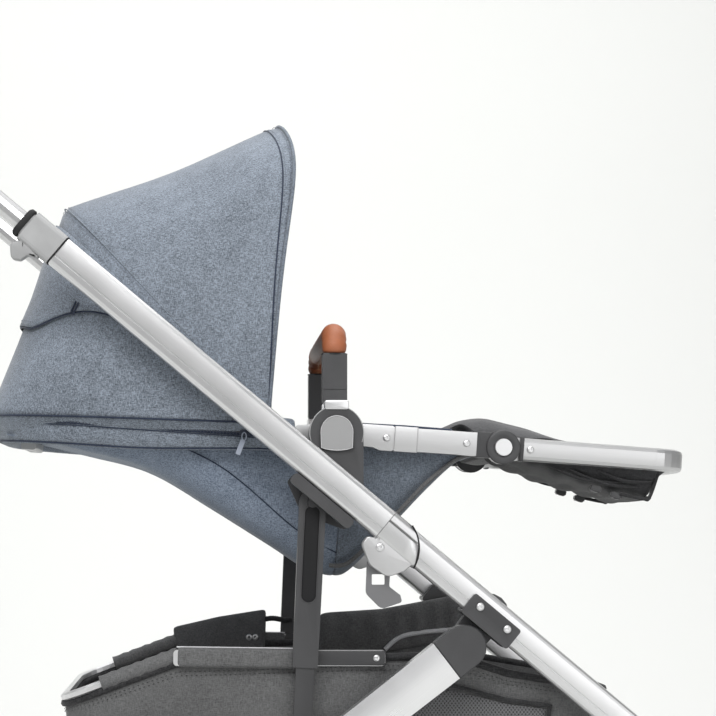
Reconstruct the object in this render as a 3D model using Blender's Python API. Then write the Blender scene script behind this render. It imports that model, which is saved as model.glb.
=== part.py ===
"""A pushchair with a reclining seat, a folding aluminium frame and a canopy.

Metres, +X forward, +Y to the left, +Z up. The pushchair stands on Z = 0, centred over the origin.
Outlines are drawn in the side view (X, Z) and given a thickness across the pushchair (Y).
"""

from math import asin, atan2, cos, hypot, pi, radians, sin

import bmesh
import bpy
from mathutils import Matrix, Vector

# Driving points of the side view, (X, Z); the whole is moved to stand centred over the origin.
FRAME_ANGLE = radians(-39.7)
FOLD_PIN = (0.0621, 0.4888)
FOLD_LINE = (0.1012, 0.4877)
COLLAR_END = (-0.3072, 0.8272)
LEG_END = (0.4420, 0.2046)
LEG_PIVOT = (0.1587, 0.3760)
POST_PIVOT = (-0.0135, 0.5400)
POST_FOOT = (-0.0275, 0.2300)
SEAT_HUB = (0.0138, 0.6205)
CANOPY_PIVOT = (-0.0644, 0.6330)
LEGREST_HINGE = (0.2132, 0.6058)
SEAT_TILT = radians(-3.7)
REAR_AXLE = (-0.1575, 0.1335)
FRONT_AXLE = (0.4320, 0.0900)
SWIVEL_X = 0.4560

# Layers across the pushchair, measured from its middle plane.
TUBE_IN = 0.2200
TUBE_OUT = 0.2400
POST_IN = 0.1985
POST_OUT = 0.2135
HOUSING_IN = 0.1820
HOUSING_OUT = 0.2165
RAIL_IN = 0.1560
RAIL_OUT = 0.1740
LUG_IN = 0.1380
REAR_WHEEL_IN = 0.2480

GAP = 0.0004
WALL = 0.0022

# Frame extrusions.
UPPER_HEIGHT = 0.0370
LOWER_HEIGHT = 0.0345
GROOVE_DEPTH = 0.0010
GROOVE_SHARE = 0.33
REAR_LEG_HEIGHT = 0.0490
INNER_HEIGHT = 0.0230
INNER_WIDTH = 0.0130
HANDLE_REACH = 0.2400
HANDLE_CORNER = 0.0700
GRIP_RADIUS = 0.0165
CROSS_TUBE = 0.0110

# Fold joint, brackets and post.
CASTING_LENGTH = 0.0420
FOLD_ARC = 0.0450
FOLD_LUG = 0.0090
FOLD_TURN = radians(50)
CENTRE_RISE = 0.0242
CLEVIS_IN = 0.2258
CLEVIS_OUT = 0.2342
BRACKET_DROP = 0.0490
BRACKET_FROM = -0.0295
BRACKET_TO = 0.0385
POST_HALF_WIDTH = 0.0156
POST_SLEEVE = 0.1890
POST_END_RADIUS = 0.0105
PIN_RADIUS = 0.0060

# Seat mount.
HOUSING_HALF = 0.0310
HOUSING_FOOT = POST_PIVOT[1] + POST_HALF_WIDTH + 0.0029
BUTTON_HALF = 0.0190
BUTTON_DEPTH = 0.0080
BUTTON_TRAVEL = 0.0030
TAB_HALF = 0.0138
TAB_LOW = 0.0270
TAB_HIGH = 0.0373
TAB_IN = 0.1885

# Handle, collars, latch, cross bar and pedal.
HANDLE_INSERT = 0.1600
HANDLE_BUTTON_LENGTH = 0.0400
HANDLE_BUTTON_HEIGHT = 0.0120
COLLAR_LENGTH = 0.0440
LATCH_PIN = (0.0630, 0.4700)
LATCH_IN = 0.2145
LATCH_OUT = 0.2196
CROSS_BAR = (0.3650, 0.2480)
CAP_LENGTH = 0.0260
PEDAL_PIN = (-0.1800, 0.1120)
PEDAL_HALF = 0.0550

# Swivels.
SOCKET_NECK = 0.0300
SOCKET_RADIUS = 0.0200
SOCKET_LOW = 0.1980
SOCKET_HIGH = 0.2480
STEM_RADIUS = 0.0075
STEM_TOP = 0.2300
WHEEL_PLANE = 0.2300

# Wheels.
REAR_RADIUS = 0.1335
REAR_TYRE = 0.0380
REAR_RIM = 0.1080
REAR_SPOKES = 7
FRONT_RADIUS = 0.0900
FRONT_TYRE = 0.0320
FRONT_RIM = 0.0680
FRONT_SPOKES = 5
AXLE_RADIUS = 0.0060

# Canopy.
FRONT_REACH = 0.3740
REAR_REACH = 0.3650
BACK_REACH = 0.3340
CANOPY_HALF_WIDTH = 0.1860
CANOPY_CLOTH = 0.0050
CANOPY_FOOT = 0.0120
CLOTH_SAG = 0.0040
ARCH_POWER = 0.62
HEAD_POWER = 0.40
FRONT_BOW_ANGLE = radians(86.2)
REAR_BOW_ANGLE = radians(132.6)
BACK_ANGLE = radians(176.2)
FRONT_BOW_FOOT = 0.0060
REAR_BOW_FOOT = 0.0500
BOW_RADIUS = 0.0035

# Seat: the form is the underside's (distance from the hub, share of the full depth).
SEAT_BACK_LENGTH = 0.3920
SEAT_TUBE_RADIUS = 0.0125
SEAT_TUBE_PLANE = 0.1630
SEAT_TUBE_CORNER = 0.1000
SEAT_HALF_WIDTH = 0.1500
SEAT_CLOTH = 0.0060
SEAT_DEPTH = 0.1660
SEAT_FORM = [
    (-0.3700, 0.15),
    (-0.3000, 0.22),
    (-0.2200, 0.32),
    (-0.1400, 0.56),
    (-0.0600, 0.82),
    (-0.0180, 0.96),
    (0.0130, 1.00),
    (0.0360, 0.93),
    (0.0860, 0.57),
    (0.1440, 0.16),
    (0.1680, 0.09),
]
PAD_FROM = -0.3600
PAD_TO = 0.1350
PAD_THICKNESS = 0.0200
PAD_HALF_WIDTH = 0.1000
PAD_CHANNEL = 0.0600
PAD_GAP = 0.0009
PAD_SECTION = [
    (-0.92, 0.0),
    (0.92, 0.0),
    (1.0, 0.30),
    (0.94, 0.72),
    (0.78, 0.92),
    (0.40, 1.0),
    (0.0, 0.96),
    (-0.40, 1.0),
    (-0.78, 0.92),
    (-0.94, 0.72),
    (-1.0, 0.30),
]

# Bumper bar.
BUMPER_FOOT = 0.6560
BUMPER_ARM = 0.0600
BUMPER_RISE = BUMPER_ARM + 0.0240
BUMPER_ARM_WIDTH = 0.0290
BUMPER_GRIP_THICKNESS = 0.0260
BUMPER_CORNER = 0.0220

# Leg rest.
LEGREST_LENGTH = 0.2159
LEGREST_HEIGHT = 0.0270
LEGREST_WIDTH = 0.0160
LEGREST_DROP = radians(-0.4)
HINGE_RADIUS = 0.0196
LEGREST_BUTTON = 0.0100
LEGREST_BUTTON_DEPTH = 0.0060
LEGREST_BUTTON_TRAVEL = 0.0025

# Basket.
BASKET_BACK = -0.2990
BASKET_FRONT = 0.3350
BASKET_FLOOR = 0.1650
BASKET_SIDE_HIGH = 0.3740
BASKET_BACK_HIGH = 0.3100
BASKET_HALF_WIDTH = 0.1900
BASKET_CLOTH = 0.0040
BASKET_RAIL = 0.0050
RAIL_LIFT = 0.0056
LINK_END = (0.0713, 0.3610)
SIDES = {"right": -1, "left": 1}
FINE = 16

COLOURS = {
    "silver": ((0.80, 0.80, 0.81), 0.32, 0.9),
    "cast_silver": ((0.62, 0.62, 0.63), 0.42, 0.8),
    "dark_plastic": ((0.075, 0.075, 0.078), 0.55, 0.0),
    "black_plastic": ((0.020, 0.020, 0.022), 0.50, 0.0),
    "grey_plastic": ((0.38, 0.38, 0.39), 0.45, 0.0),
    "tyre": ((0.022, 0.022, 0.024), 0.85, 0.0),
    "blue_fabric": ((0.175, 0.225, 0.305), 0.95, 0.0),
    "pad_fabric": ((0.130, 0.170, 0.235), 0.95, 0.0),
    "charcoal_fabric": ((0.045, 0.045, 0.048), 0.95, 0.0),
    "leather": ((0.420, 0.165, 0.070), 0.55, 0.0),
}
materials = {}
bodies = {}
carriers = {}


def clear_scene():
    for item in list(bpy.data.objects):
        bpy.data.objects.remove(item, do_unlink=True)


def make_materials():
    for name, (colour, roughness, metallic) in COLOURS.items():
        material = bpy.data.materials.new(name)
        material.use_nodes = True
        surface = material.node_tree.nodes["Principled BSDF"]
        surface.inputs["Base Color"].default_value = (*colour, 1.0)
        surface.inputs["Roughness"].default_value = roughness
        surface.inputs["Metallic"].default_value = metallic
        materials[name] = material


def body(name, point, y=0.0, parent=None):
    """An empty on the joint's axis, which carries the pieces that move together."""
    empty = bpy.data.objects.new(name + "_pivot", None)
    place = Vector((point[0], y, point[1]))
    bpy.context.collection.objects.link(empty)
    empty.parent = bodies[parent][0] if parent else None
    empty.location = place - (bodies[parent][1] if parent else Vector())
    bodies[name] = (empty, place)


def add_piece(name, shape, material, body_name, smooth=35):
    """Turn a bmesh drawn in the pushchair's own frame into a named piece of a body."""
    bmesh.ops.remove_doubles(shape, verts=shape.verts, dist=1e-6)
    bmesh.ops.recalc_face_normals(shape, faces=shape.faces)
    empty, place = bodies[body_name]
    shape.transform(Matrix.Translation(-place))
    mesh = bpy.data.meshes.new(name)
    shape.to_mesh(mesh)
    shape.free()
    mesh.shade_smooth()
    mesh.set_sharp_from_angle(angle=radians(smooth))
    mesh.materials.append(materials[material])
    piece = bpy.data.objects.new(name, mesh)
    bpy.context.collection.objects.link(piece)
    piece.parent = empty
    carriers[piece.name] = place
    return piece


def combine(piece, shape, operation):
    """Join a shape to a piece, or cut it away, with a Boolean modifier."""
    bmesh.ops.remove_doubles(shape, verts=shape.verts, dist=1e-6)
    bmesh.ops.recalc_face_normals(shape, faces=shape.faces)
    shape.transform(Matrix.Translation(-carriers[piece.name]))
    mesh = bpy.data.meshes.new(piece.name + "_tool")
    shape.to_mesh(mesh)
    shape.free()
    tool = bpy.data.objects.new(piece.name + "_tool", mesh)
    bpy.context.collection.objects.link(tool)
    tool.parent = piece.parent
    tool.hide_render = True
    tool.display_type = "WIRE"
    change = piece.modifiers.new(operation.lower(), "BOOLEAN")
    change.operation = operation
    change.solver = "EXACT"
    change.object = tool


def join(piece, *shapes):
    for shape in shapes:
        combine(piece, shape, "UNION")


def cut(piece, *shapes):
    for shape in shapes:
        combine(piece, shape, "DIFFERENCE")


def along(point, angle, distance, rise=0.0):
    """The point at a distance from another in a direction, then square to it by the rise."""
    return (
        point[0] + distance * cos(angle) - rise * sin(angle),
        point[1] + distance * sin(angle) + rise * cos(angle),
    )


def heading(start, end):
    return atan2(end[1] - start[1], end[0] - start[0])


def span(start, end):
    return hypot(end[0] - start[0], end[1] - start[1])


def arc(centre, radius, start, end, steps):
    return [along(centre, start + (end - start) * i / steps, radius) for i in range(steps + 1)]


def circle(centre, radius, steps=FINE):
    return arc(centre, radius, 0, 2 * pi * (steps - 1) / steps, steps - 1)


def capsule(start, end, radius, end_radius=None, steps=8):
    """A link's outline: two round ends joined by straight flanks."""
    end_radius = radius if end_radius is None else end_radius
    angle = heading(start, end)
    lean = asin((radius - end_radius) / span(start, end))
    first = arc(start, radius, angle + pi / 2 - lean, angle + 3 * pi / 2 + lean, steps)
    last = arc(end, end_radius, angle - pi / 2 + lean, angle + pi / 2 - lean, steps)
    return first + last


def rounded(corners, steps=4):
    """An outline whose corners (X, Z, radius) are turned into arcs."""
    outline = []
    for i, (x, z, radius) in enumerate(corners):
        here = Vector((x, z))
        to_last = Vector(corners[i - 1][:2]) - here
        to_next = Vector(corners[(i + 1) % len(corners)][:2]) - here
        if radius <= 0:
            outline.append((x, z))
            continue
        half = to_last.angle(to_next) / 2
        reach = radius / cos(pi / 2 - half) * cos(half)
        middle = here + (to_last.normalized() + to_next.normalized()).normalized() * (
            radius / sin(half)
        )
        first = here + to_last.normalized() * reach - middle
        last = here + to_next.normalized() * reach - middle
        start = atan2(first.y, first.x)
        turn = (atan2(last.y, last.x) - start + pi) % (2 * pi) - pi
        outline += arc(middle, radius, start, start + turn, steps)
    return outline


def strip(start, end, low, high, radius=0.0, steps=3):
    """The outline of a straight band beside the line from start to end, low and high from it."""
    angle = heading(start, end)
    corners = [along(start, angle, 0, low), along(end, angle, 0, low)]
    corners += [along(end, angle, 0, high), along(start, angle, 0, high)]
    return rounded([(*corner, radius) for corner in corners], steps)


def slab(outline, y_from, y_to):
    """An outline of the side view, given its thickness across the pushchair."""
    shape = bmesh.new()
    near = [shape.verts.new((x, y_from, z)) for x, z in outline]
    far = [shape.verts.new((x, y_to, z)) for x, z in outline]
    bridge(shape, [near, far], caps=True)
    return shape


def bridge(shape, rings, caps, loop=False):
    """Faces between rings of vertices in order; caps close the first and the last."""
    pairs = list(zip(rings, rings[1:]))
    if loop:
        pairs.append((rings[-1], rings[0]))
    for first, second in pairs:
        for i in range(len(first)):
            j = (i + 1) % len(first)
            shape.faces.new((first[i], first[j], second[j], second[i]))
    if caps:
        shape.faces.new(rings[0])
        shape.faces.new(rings[-1])


def ellipse(half_width, half_height, steps=FINE):
    """A section across a path: (sideways, upwards)."""
    turns = [2 * pi * i / steps for i in range(steps)]
    return [(half_width * cos(turn), half_height * sin(turn)) for turn in turns]


def soft_box(half_width, half_height, radius, steps=3):
    """A section with rounded corners."""
    w, h = half_width, half_height
    return rounded([(w, -h, radius), (w, h, radius), (-w, h, radius), (-w, -h, radius)], steps)


def sweep(path, section, plane_normal, caps=True):
    """Carry a section along a flat path; sideways is along the normal of the path's plane."""
    shape = bmesh.new()
    side = Vector(plane_normal).normalized()
    rings = []
    for i, point in enumerate(path):
        tangent = Vector(path[min(i + 1, len(path) - 1)]) - Vector(path[max(i - 1, 0)])
        up = tangent.cross(side).normalized()
        rings.append([shape.verts.new(Vector(point) + side * a + up * b) for a, b in section])
    bridge(shape, rings, caps)
    return shape


def turn_about_y(profile, centre, steps):
    """Revolve a profile of (radius, distance from the middle plane) about an axle."""
    shape = bmesh.new()
    rings = []
    for i in range(steps):
        angle = 2 * pi * i / steps
        points = [(*along(centre, angle, radius), y) for radius, y in profile]
        rings.append([shape.verts.new((x, y, z)) for x, z, y in points])
    bridge(shape, rings, caps=False, loop=True)
    return shape


def disc(centre, radius, y_from, y_to, steps=FINE):
    return slab(circle(centre, radius, steps), y_from, y_to)


def at_y(points, y):
    return [(x, y, z) for x, z in points]


def tube_section(height, y_side, inset=0.0, groove=True):
    """The section of a flat-sided extrusion, with a groove along its outer face."""
    w = (TUBE_OUT - TUBE_IN) / 2 - inset
    h = height / 2 - inset
    radius = 0.0055 - inset
    right = rounded([(w, -h, radius), (w, h, radius)] + [(-w, h, radius), (-w, -h, radius)], 3)
    if groove:
        level = h - GROOVE_SHARE * height
        notch = [(w, level - 0.0012), (w - GROOVE_DEPTH, level - 0.0008)]
        notch += [(w - GROOVE_DEPTH, level + 0.0008), (w, level + 0.0012)]
        right = right[:4] + notch + right[4:]
    return [(a * y_side, b) for a, b in right]


def extrusion(start, end, height, y_side, inset=0.0, groove=True):
    y = y_side * (TUBE_IN + TUBE_OUT) / 2
    section = tube_section(height, -y_side, inset, groove)
    return sweep(at_y([start, end], y), section, (0, -1, 0))


def screw_head(centre, y_face, y_side, radius=0.0045, proud=0.0012):
    """A low round screw head that stands on a face."""
    return disc(centre, radius, y_face - y_side * 0.001, y_face + y_side * proud, steps=8)


def fold_wedge():
    """The room that the front leg's lug sweeps through while the frame folds."""
    lug = heading(FOLD_PIN, lug_end())
    last = lug + FOLD_TURN
    half = FOLD_LUG + 0.0008
    reach = FOLD_ARC + 0.006
    lower = [along(FOLD_PIN, lug, 0, -half), along(FOLD_PIN, lug, reach, -half)]
    sweep_arc = arc(FOLD_PIN, reach, lug + radians(5), last - radians(5), 6)
    upper = [along(FOLD_PIN, last, reach, half)]
    heel = arc(FOLD_PIN, half, last + pi / 2, lug + 3 * pi / 2 - radians(10), 6)
    return lower + sweep_arc + upper + heel


def lug_end():
    return along(FOLD_LINE, FRAME_ANGLE, 0.012)


def make_upper_tubes(side, y_side):
    """The main side tube and the casting at its lower end, a clevis on the fold pin."""
    seam = along(FOLD_LINE, FRAME_ANGLE, -CASTING_LENGTH)
    tube = add_piece(
        f"side_tube_{side}",
        extrusion(COLLAR_END, along(seam, FRAME_ANGLE, -GAP), UPPER_HEIGHT, y_side),
        "silver",
        "upper_frame",
    )
    deep = along(seam, FRAME_ANGLE, 0.002)
    mouth = along(COLLAR_END, FRAME_ANGLE, -0.002)
    cut(tube, extrusion(mouth, deep, UPPER_HEIGHT, y_side, inset=WALL, groove=False))
    slot_in, slot_out = y_side * (CLEVIS_IN - GAP), y_side * (CLEVIS_OUT + GAP)
    cut(tube, slab(fold_wedge(), slot_in, slot_out))

    top = UPPER_HEIGHT / 2 + 0.0006
    heel = along(seam, FRAME_ANGLE, 0, -UPPER_HEIGHT / 2)
    lobe = 0.0190
    corners = [
        (*along(seam, FRAME_ANGLE, 0, top), 0.001),
        (*heel, 0.001),
        (*along(FOLD_PIN, FRAME_ANGLE, -lobe, 0.001), 0.003),
        (*along(FOLD_PIN, FRAME_ANGLE, -lobe, -0.010), 0.007),
        (*along(FOLD_PIN, FRAME_ANGLE, 0.004, -lobe - 0.004), 0.010),
        (*along(FOLD_PIN, FRAME_ANGLE, 0.030, -lobe - 0.002), 0.010),
        (*along(FOLD_PIN, FRAME_ANGLE, 0.034, -0.010), 0.010),
    ]
    front = arc(
        FOLD_PIN,
        FOLD_ARC - 0.0008,
        FRAME_ANGLE + radians(2),
        FRAME_ANGLE + asin((top + CENTRE_RISE) / FOLD_ARC),
        6,
    )
    casting = add_piece(
        f"fold_casting_{side}",
        slab(rounded(corners) + front, y_side * TUBE_IN, y_side * (TUBE_OUT + 0.0006)),
        "cast_silver",
        "upper_frame",
    )
    cut(casting, slab(fold_wedge(), slot_in, slot_out))
    join(casting, screw_head(FOLD_PIN, y_side * (TUBE_OUT + 0.0006), y_side, 0.0055))


def make_front_legs(side, y_side):
    """The lower tube with the lug that turns in the casting, and the swivel socket at its foot."""
    start = along(FOLD_LINE, FRAME_ANGLE, -0.010)
    end = along(LEG_END, FRAME_ANGLE, -SOCKET_NECK)
    leg = add_piece(
        f"front_leg_{side}",
        extrusion(start, end, LOWER_HEIGHT, y_side),
        "silver",
        "chassis",
    )
    cut(leg, disc(FOLD_PIN, FOLD_ARC, y_side * 0.21, y_side * 0.25, steps=36))
    lug = capsule(FOLD_PIN, lug_end(), FOLD_LUG)
    join(leg, slab(lug, y_side * CLEVIS_IN, y_side * CLEVIS_OUT))

    neck = along(end, FRAME_ANGLE, GAP)
    half = LOWER_HEIGHT / 2 + 0.001
    outline = rounded(
        [
            (*along(neck, FRAME_ANGLE, 0, half), 0.002),
            (*along(neck, FRAME_ANGLE, 0, -half), 0.002),
            (SWIVEL_X - SOCKET_RADIUS + 0.002, SOCKET_LOW, 0.004),
            (SWIVEL_X + SOCKET_RADIUS - 0.002, SOCKET_LOW, 0.004),
            (SWIVEL_X + SOCKET_RADIUS - 0.002, SOCKET_HIGH - 0.006, 0.008),
            (SWIVEL_X - 0.004, SOCKET_HIGH, 0.010),
        ]
    )
    socket = add_piece(
        f"swivel_socket_{side}",
        slab(outline, y_side * (TUBE_IN - 0.001), y_side * (TUBE_OUT + 0.001)),
        "dark_plastic",
        "chassis",
    )
    join(socket, upright(SWIVEL_X, y_side * WHEEL_PLANE, SOCKET_RADIUS, SOCKET_LOW, SOCKET_HIGH - 0.012))
    bore = STEM_RADIUS + GAP
    cut(socket, upright(SWIVEL_X, y_side * WHEEL_PLANE, bore, SOCKET_LOW - 0.01, STEM_TOP + GAP))


def upright(x, y, radius, low, high, steps=16):
    """A round pillar."""
    shape = bmesh.new()
    turns = [2 * pi * i / steps for i in range(steps)]
    rings = []
    for z in (low, high):
        points = [(x + radius * cos(turn), y + radius * sin(turn), z) for turn in turns]
        rings.append([shape.verts.new(point) for point in points])
    bridge(shape, rings, caps=True)
    return shape


def make_lower_bracket(side, y_side):
    """The clamp round the front leg, with the inboard lug that carries the rear leg."""
    foot = along(LEG_PIVOT, FRAME_ANGLE, 0, BRACKET_DROP)
    low = -LOWER_HEIGHT / 2 - 0.004
    band = strip(
        along(foot, FRAME_ANGLE, BRACKET_FROM),
        along(foot, FRAME_ANGLE, BRACKET_TO),
        low,
        0.006,
        0.003,
    )
    outer = y_side * (TUBE_OUT + 0.004)
    bracket = add_piece(
        f"leg_bracket_{side}",
        slab(band, y_side * POST_IN, outer),
        "dark_plastic",
        "chassis",
    )
    flange = capsule(foot, LEG_PIVOT, 0.022, 0.018)
    join(bracket, slab(flange, y_side * POST_IN, y_side * (TUBE_IN - GAP)))
    room = tube_section(LOWER_HEIGHT, -y_side, -GAP, groove=False)
    y = y_side * (TUBE_IN + TUBE_OUT) / 2
    first = along(foot, FRAME_ANGLE, BRACKET_FROM - 0.01)
    last = along(foot, FRAME_ANGLE, BRACKET_TO + 0.01)
    cut(bracket, sweep(at_y([first, last], y), room, (0, -1, 0)))
    for step in (BRACKET_FROM + 0.014, BRACKET_TO - 0.014):
        join(bracket, screw_head(along(foot, FRAME_ANGLE, step, -0.003), outer, y_side))


def make_seat_bracket(side, y_side):
    """The bracket under the side tube: a clevis for the post, and the plate of the seat mount."""
    lean = heading(FOLD_LINE, POST_PIVOT) - FRAME_ANGLE
    on_line = along(FOLD_LINE, FRAME_ANGLE, span(FOLD_LINE, POST_PIVOT) * cos(lean))
    under = -UPPER_HEIGHT / 2 - GAP
    band = strip(
        along(on_line, FRAME_ANGLE, -0.038),
        along(on_line, FRAME_ANGLE, 0.050),
        under - 0.0135,
        under,
        0.005,
    )
    web = strip(
        along(on_line, FRAME_ANGLE, -0.0370),
        along(on_line, FRAME_ANGLE, -0.0200),
        under - 0.0125,
        under - 0.0006,
        0.0035,
    )
    bracket = add_piece(
        f"seat_bracket_{side}",
        slab(band, y_side * (TUBE_IN - GAP), y_side * (TUBE_OUT - 0.002)),
        "dark_plastic",
        "upper_frame",
    )
    join(bracket, slab(web, y_side * (HOUSING_IN + 0.001), y_side * (TUBE_IN + 0.002)))
    low = HOUSING_FOOT - 0.0005
    plate = rounded(
        [
            (*along(on_line, FRAME_ANGLE, -0.038, under), 0.004),
            (*along(on_line, FRAME_ANGLE, -0.038, under - 0.0135), 0.004),
            (POST_PIVOT[0] - 0.016, POST_PIVOT[1] - 0.004, 0.006),
            (POST_PIVOT[0] + 0.002, POST_PIVOT[1] - 0.018, 0.010),
            (*along(on_line, FRAME_ANGLE, 0.050, under - 0.0135), 0.006),
            (*along(on_line, FRAME_ANGLE, 0.050, under), 0.004),
            (SEAT_HUB[0] + HOUSING_HALF, low, 0.002),
            (SEAT_HUB[0] - HOUSING_HALF, low, 0.002),
        ]
    )
    join(bracket, slab(plate, y_side * HOUSING_IN, y_side * (POST_IN - GAP)))
    peg_out = y_side * (POST_OUT + 0.0012)
    join(bracket, disc(POST_PIVOT, PIN_RADIUS, y_side * (HOUSING_IN + 0.004), peg_out, 12))


def make_seat_mount(side, y_side):
    """The housing that the seat's disc turns in, its release button and its silver tab."""
    x, z = SEAT_HUB
    crown = arc(SEAT_HUB, HOUSING_HALF, 0, pi, 12)
    outline = crown + [(x - HOUSING_HALF, HOUSING_FOOT), (x + HOUSING_HALF, HOUSING_FOOT)]
    housing = add_piece(
        f"seat_mount_{side}",
        slab(outline, y_side * HOUSING_IN, y_side * HOUSING_OUT),
        "dark_plastic",
        "upper_frame",
    )
    button = d_outline(BUTTON_HALF)
    seat = d_outline(BUTTON_HALF + GAP)
    face = y_side * HOUSING_OUT
    cut(housing, slab(seat, face - y_side * BUTTON_DEPTH, face + y_side * 0.01))
    tab = strip((x - TAB_HALF, z), (x + TAB_HALF, z), TAB_LOW, TAB_HIGH, 0.003)
    join(housing, slab(tab, y_side * TAB_IN, face + y_side * 0.0012))
    bottom = face - y_side * (BUTTON_DEPTH - BUTTON_TRAVEL - GAP)
    add_piece(
        f"seat_release_button_{side}",
        slab(button, bottom, face + y_side * (BUTTON_TRAVEL + 0.0006)),
        "silver",
        f"seat_release_button_{side}",
    )


def d_outline(half):
    """A button with a round top and a nearly flat foot."""
    x, z = SEAT_HUB
    top = arc((x, z + 0.001), half, 0, pi, 10)
    foot = arc((x, z + half * 1.9), half * 3.0, radians(-109), radians(-71), 6)
    return top + foot


def make_post(side, y_side):
    """The post between the side tube and the rear leg: a sleeve with an inset, over a tube."""
    angle = heading(POST_PIVOT, POST_FOOT)
    sleeve_end = along(POST_PIVOT, angle, POST_SLEEVE)
    post = add_piece(
        f"post_{side}",
        slab(
            capsule_square(POST_PIVOT, sleeve_end, POST_HALF_WIDTH, POST_HALF_WIDTH - 0.0012),
            y_side * POST_IN,
            y_side * POST_OUT,
        ),
        "dark_plastic",
        f"post_{side}",
    )
    inset = capsule(
        along(POST_PIVOT, angle, 0.012), along(POST_PIVOT, angle, 0.106), 0.0085, steps=6
    )
    face = y_side * POST_OUT
    cut(post, slab(inset, face - y_side * 0.0015, face + y_side * 0.01))
    cut(post, disc(POST_PIVOT, PIN_RADIUS + GAP, y_side * 0.19, y_side * 0.22, 12))
    tail = strip(
        along(POST_PIVOT, angle, POST_SLEEVE - 0.01),
        POST_FOOT,
        -POST_END_RADIUS,
        POST_END_RADIUS,
    )
    join(post, slab(tail, y_side * (POST_IN + 0.002), y_side * (POST_OUT - 0.002)))
    boss = y_side * (TUBE_IN - 2 * GAP)
    join(post, disc(POST_FOOT, POST_END_RADIUS, y_side * (POST_IN + 0.002), boss, 16))


def capsule_square(start, end, radius, end_radius):
    """A link's outline with one round end and one square end."""
    angle = heading(start, end)
    cap = arc(start, radius, angle + pi / 2, angle + 3 * pi / 2, 10)
    return cap + [along(end, angle, 0, -end_radius), along(end, angle, 0, end_radius)]


def handle_point(distance, y):
    x, z = along(COLLAR_END, FRAME_ANGLE, -distance)
    return (x, y, z)


def handle_path(reach, start):
    """The handlebar's line: up one side, across with round corners, and down the other."""
    half = (TUBE_IN + TUBE_OUT) / 2
    turn = [pi / 2 * i / 6 for i in range(7)]
    corner = [
        (reach - HANDLE_CORNER * (1 - sin(t)), half - HANDLE_CORNER * (1 - cos(t))) for t in turn
    ]
    left = [(start, half)] + corner
    right = [(distance, -y) for distance, y in reversed(left)]
    return [handle_point(distance, y) for distance, y in left + right]


def sleeve(path, outer, inner, plane_normal):
    """A tube wall along a path, open at both ends."""
    shape = bmesh.new()
    side = Vector(plane_normal).normalized()
    layers = []
    for section in (outer, inner):
        rings = []
        for i, point in enumerate(path):
            tangent = Vector(path[min(i + 1, len(path) - 1)]) - Vector(path[max(i - 1, 0)])
            up = tangent.cross(side).normalized()
            rings.append([shape.verts.new(Vector(point) + side * a + up * b) for a, b in section])
        bridge(shape, rings, caps=False)
        layers.append(rings)
    bridge(shape, [layers[0][0], layers[1][0]], caps=False)
    bridge(shape, [layers[0][-1], layers[1][-1]], caps=False)
    return shape


def make_handle():
    """The handlebar that slides in the side tubes, its grip, and the button under the grip."""
    normal = (-sin(FRAME_ANGLE), 0, cos(FRAME_ANGLE))
    path = handle_path(HANDLE_REACH, -HANDLE_INSERT)
    section = ellipse(INNER_HEIGHT / 2, INNER_WIDTH / 2, 12)
    add_piece("handlebar_tube", sweep(path, section, normal), "silver", "handlebar")
    grip_path = path[3:-3]
    outer = ellipse(GRIP_RADIUS, GRIP_RADIUS - 0.002, 12)
    inner = ellipse(INNER_HEIGHT / 2 + GAP, INNER_WIDTH / 2 + GAP, 12)
    grip = add_piece(
        "handlebar_grip", sleeve(grip_path, outer, inner, normal), "leather", "handlebar"
    )
    depth = 0.0045
    low = HANDLE_REACH - GRIP_RADIUS - 0.002
    pocket = button_block(low - 0.004, low + depth + BUTTON_TRAVEL, GAP)
    cut(grip, pocket)
    button = button_block(low - BUTTON_TRAVEL + 0.001, low + depth, 0.0)
    add_piece("handle_release_button", button, "grey_plastic", "handle_button")


def button_block(start, end, clearance):
    """The telescope button's outline, pushed outwards along the tube's direction."""
    half_long = HANDLE_BUTTON_LENGTH / 2 + clearance
    half_high = HANDLE_BUTTON_HEIGHT / 2 + clearance
    x, y, z = handle_point(start, 0)
    path = [(x, y, z), handle_point(end, 0)]
    return sweep(path, soft_box(half_long, half_high, 0.003), (0, 1, 0))


def make_fold_trigger(side, y_side):
    """The collar at the top of the side tube, pulled up along the tube to fold the frame."""
    y = y_side * (TUBE_IN + TUBE_OUT) / 2
    ends = [handle_point(GAP, y), handle_point(COLLAR_LENGTH, y)]
    half_high = UPPER_HEIGHT / 2 + 0.0012
    half_wide = (TUBE_OUT - TUBE_IN) / 2 + 0.0014
    bore = ellipse(INNER_WIDTH / 2 + GAP, INNER_HEIGHT / 2 + GAP, 12)
    outer = soft_box(half_wide, half_high, 0.006)
    collar = add_piece(
        f"fold_trigger_{side}",
        sweep(ends, outer, (0, 1, 0)),
        "grey_plastic",
        f"fold_trigger_{side}",
    )
    nub = rounded(
        [
            (*along(COLLAR_END, FRAME_ANGLE, -0.022, -half_high + 0.003), 0.002),
            (*along(COLLAR_END, FRAME_ANGLE, -0.040, -half_high + 0.003), 0.002),
            (*along(COLLAR_END, FRAME_ANGLE, -0.038, -half_high - 0.010), 0.004),
            (*along(COLLAR_END, FRAME_ANGLE, -0.028, -half_high - 0.010), 0.004),
        ],
        3,
    )
    join(collar, slab(nub, y - 0.008, y + 0.008))
    top = [handle_point(COLLAR_LENGTH - 0.001, y), handle_point(COLLAR_LENGTH + 0.006, y)]
    join(collar, sweep(top, soft_box(half_wide - 0.002, half_high - 0.0045, 0.006), (0, 1, 0)))
    through = [handle_point(-0.01, y), handle_point(COLLAR_LENGTH + 0.02, y)]
    cut(collar, sweep(through, bore, (0, 1, 0)))


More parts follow.
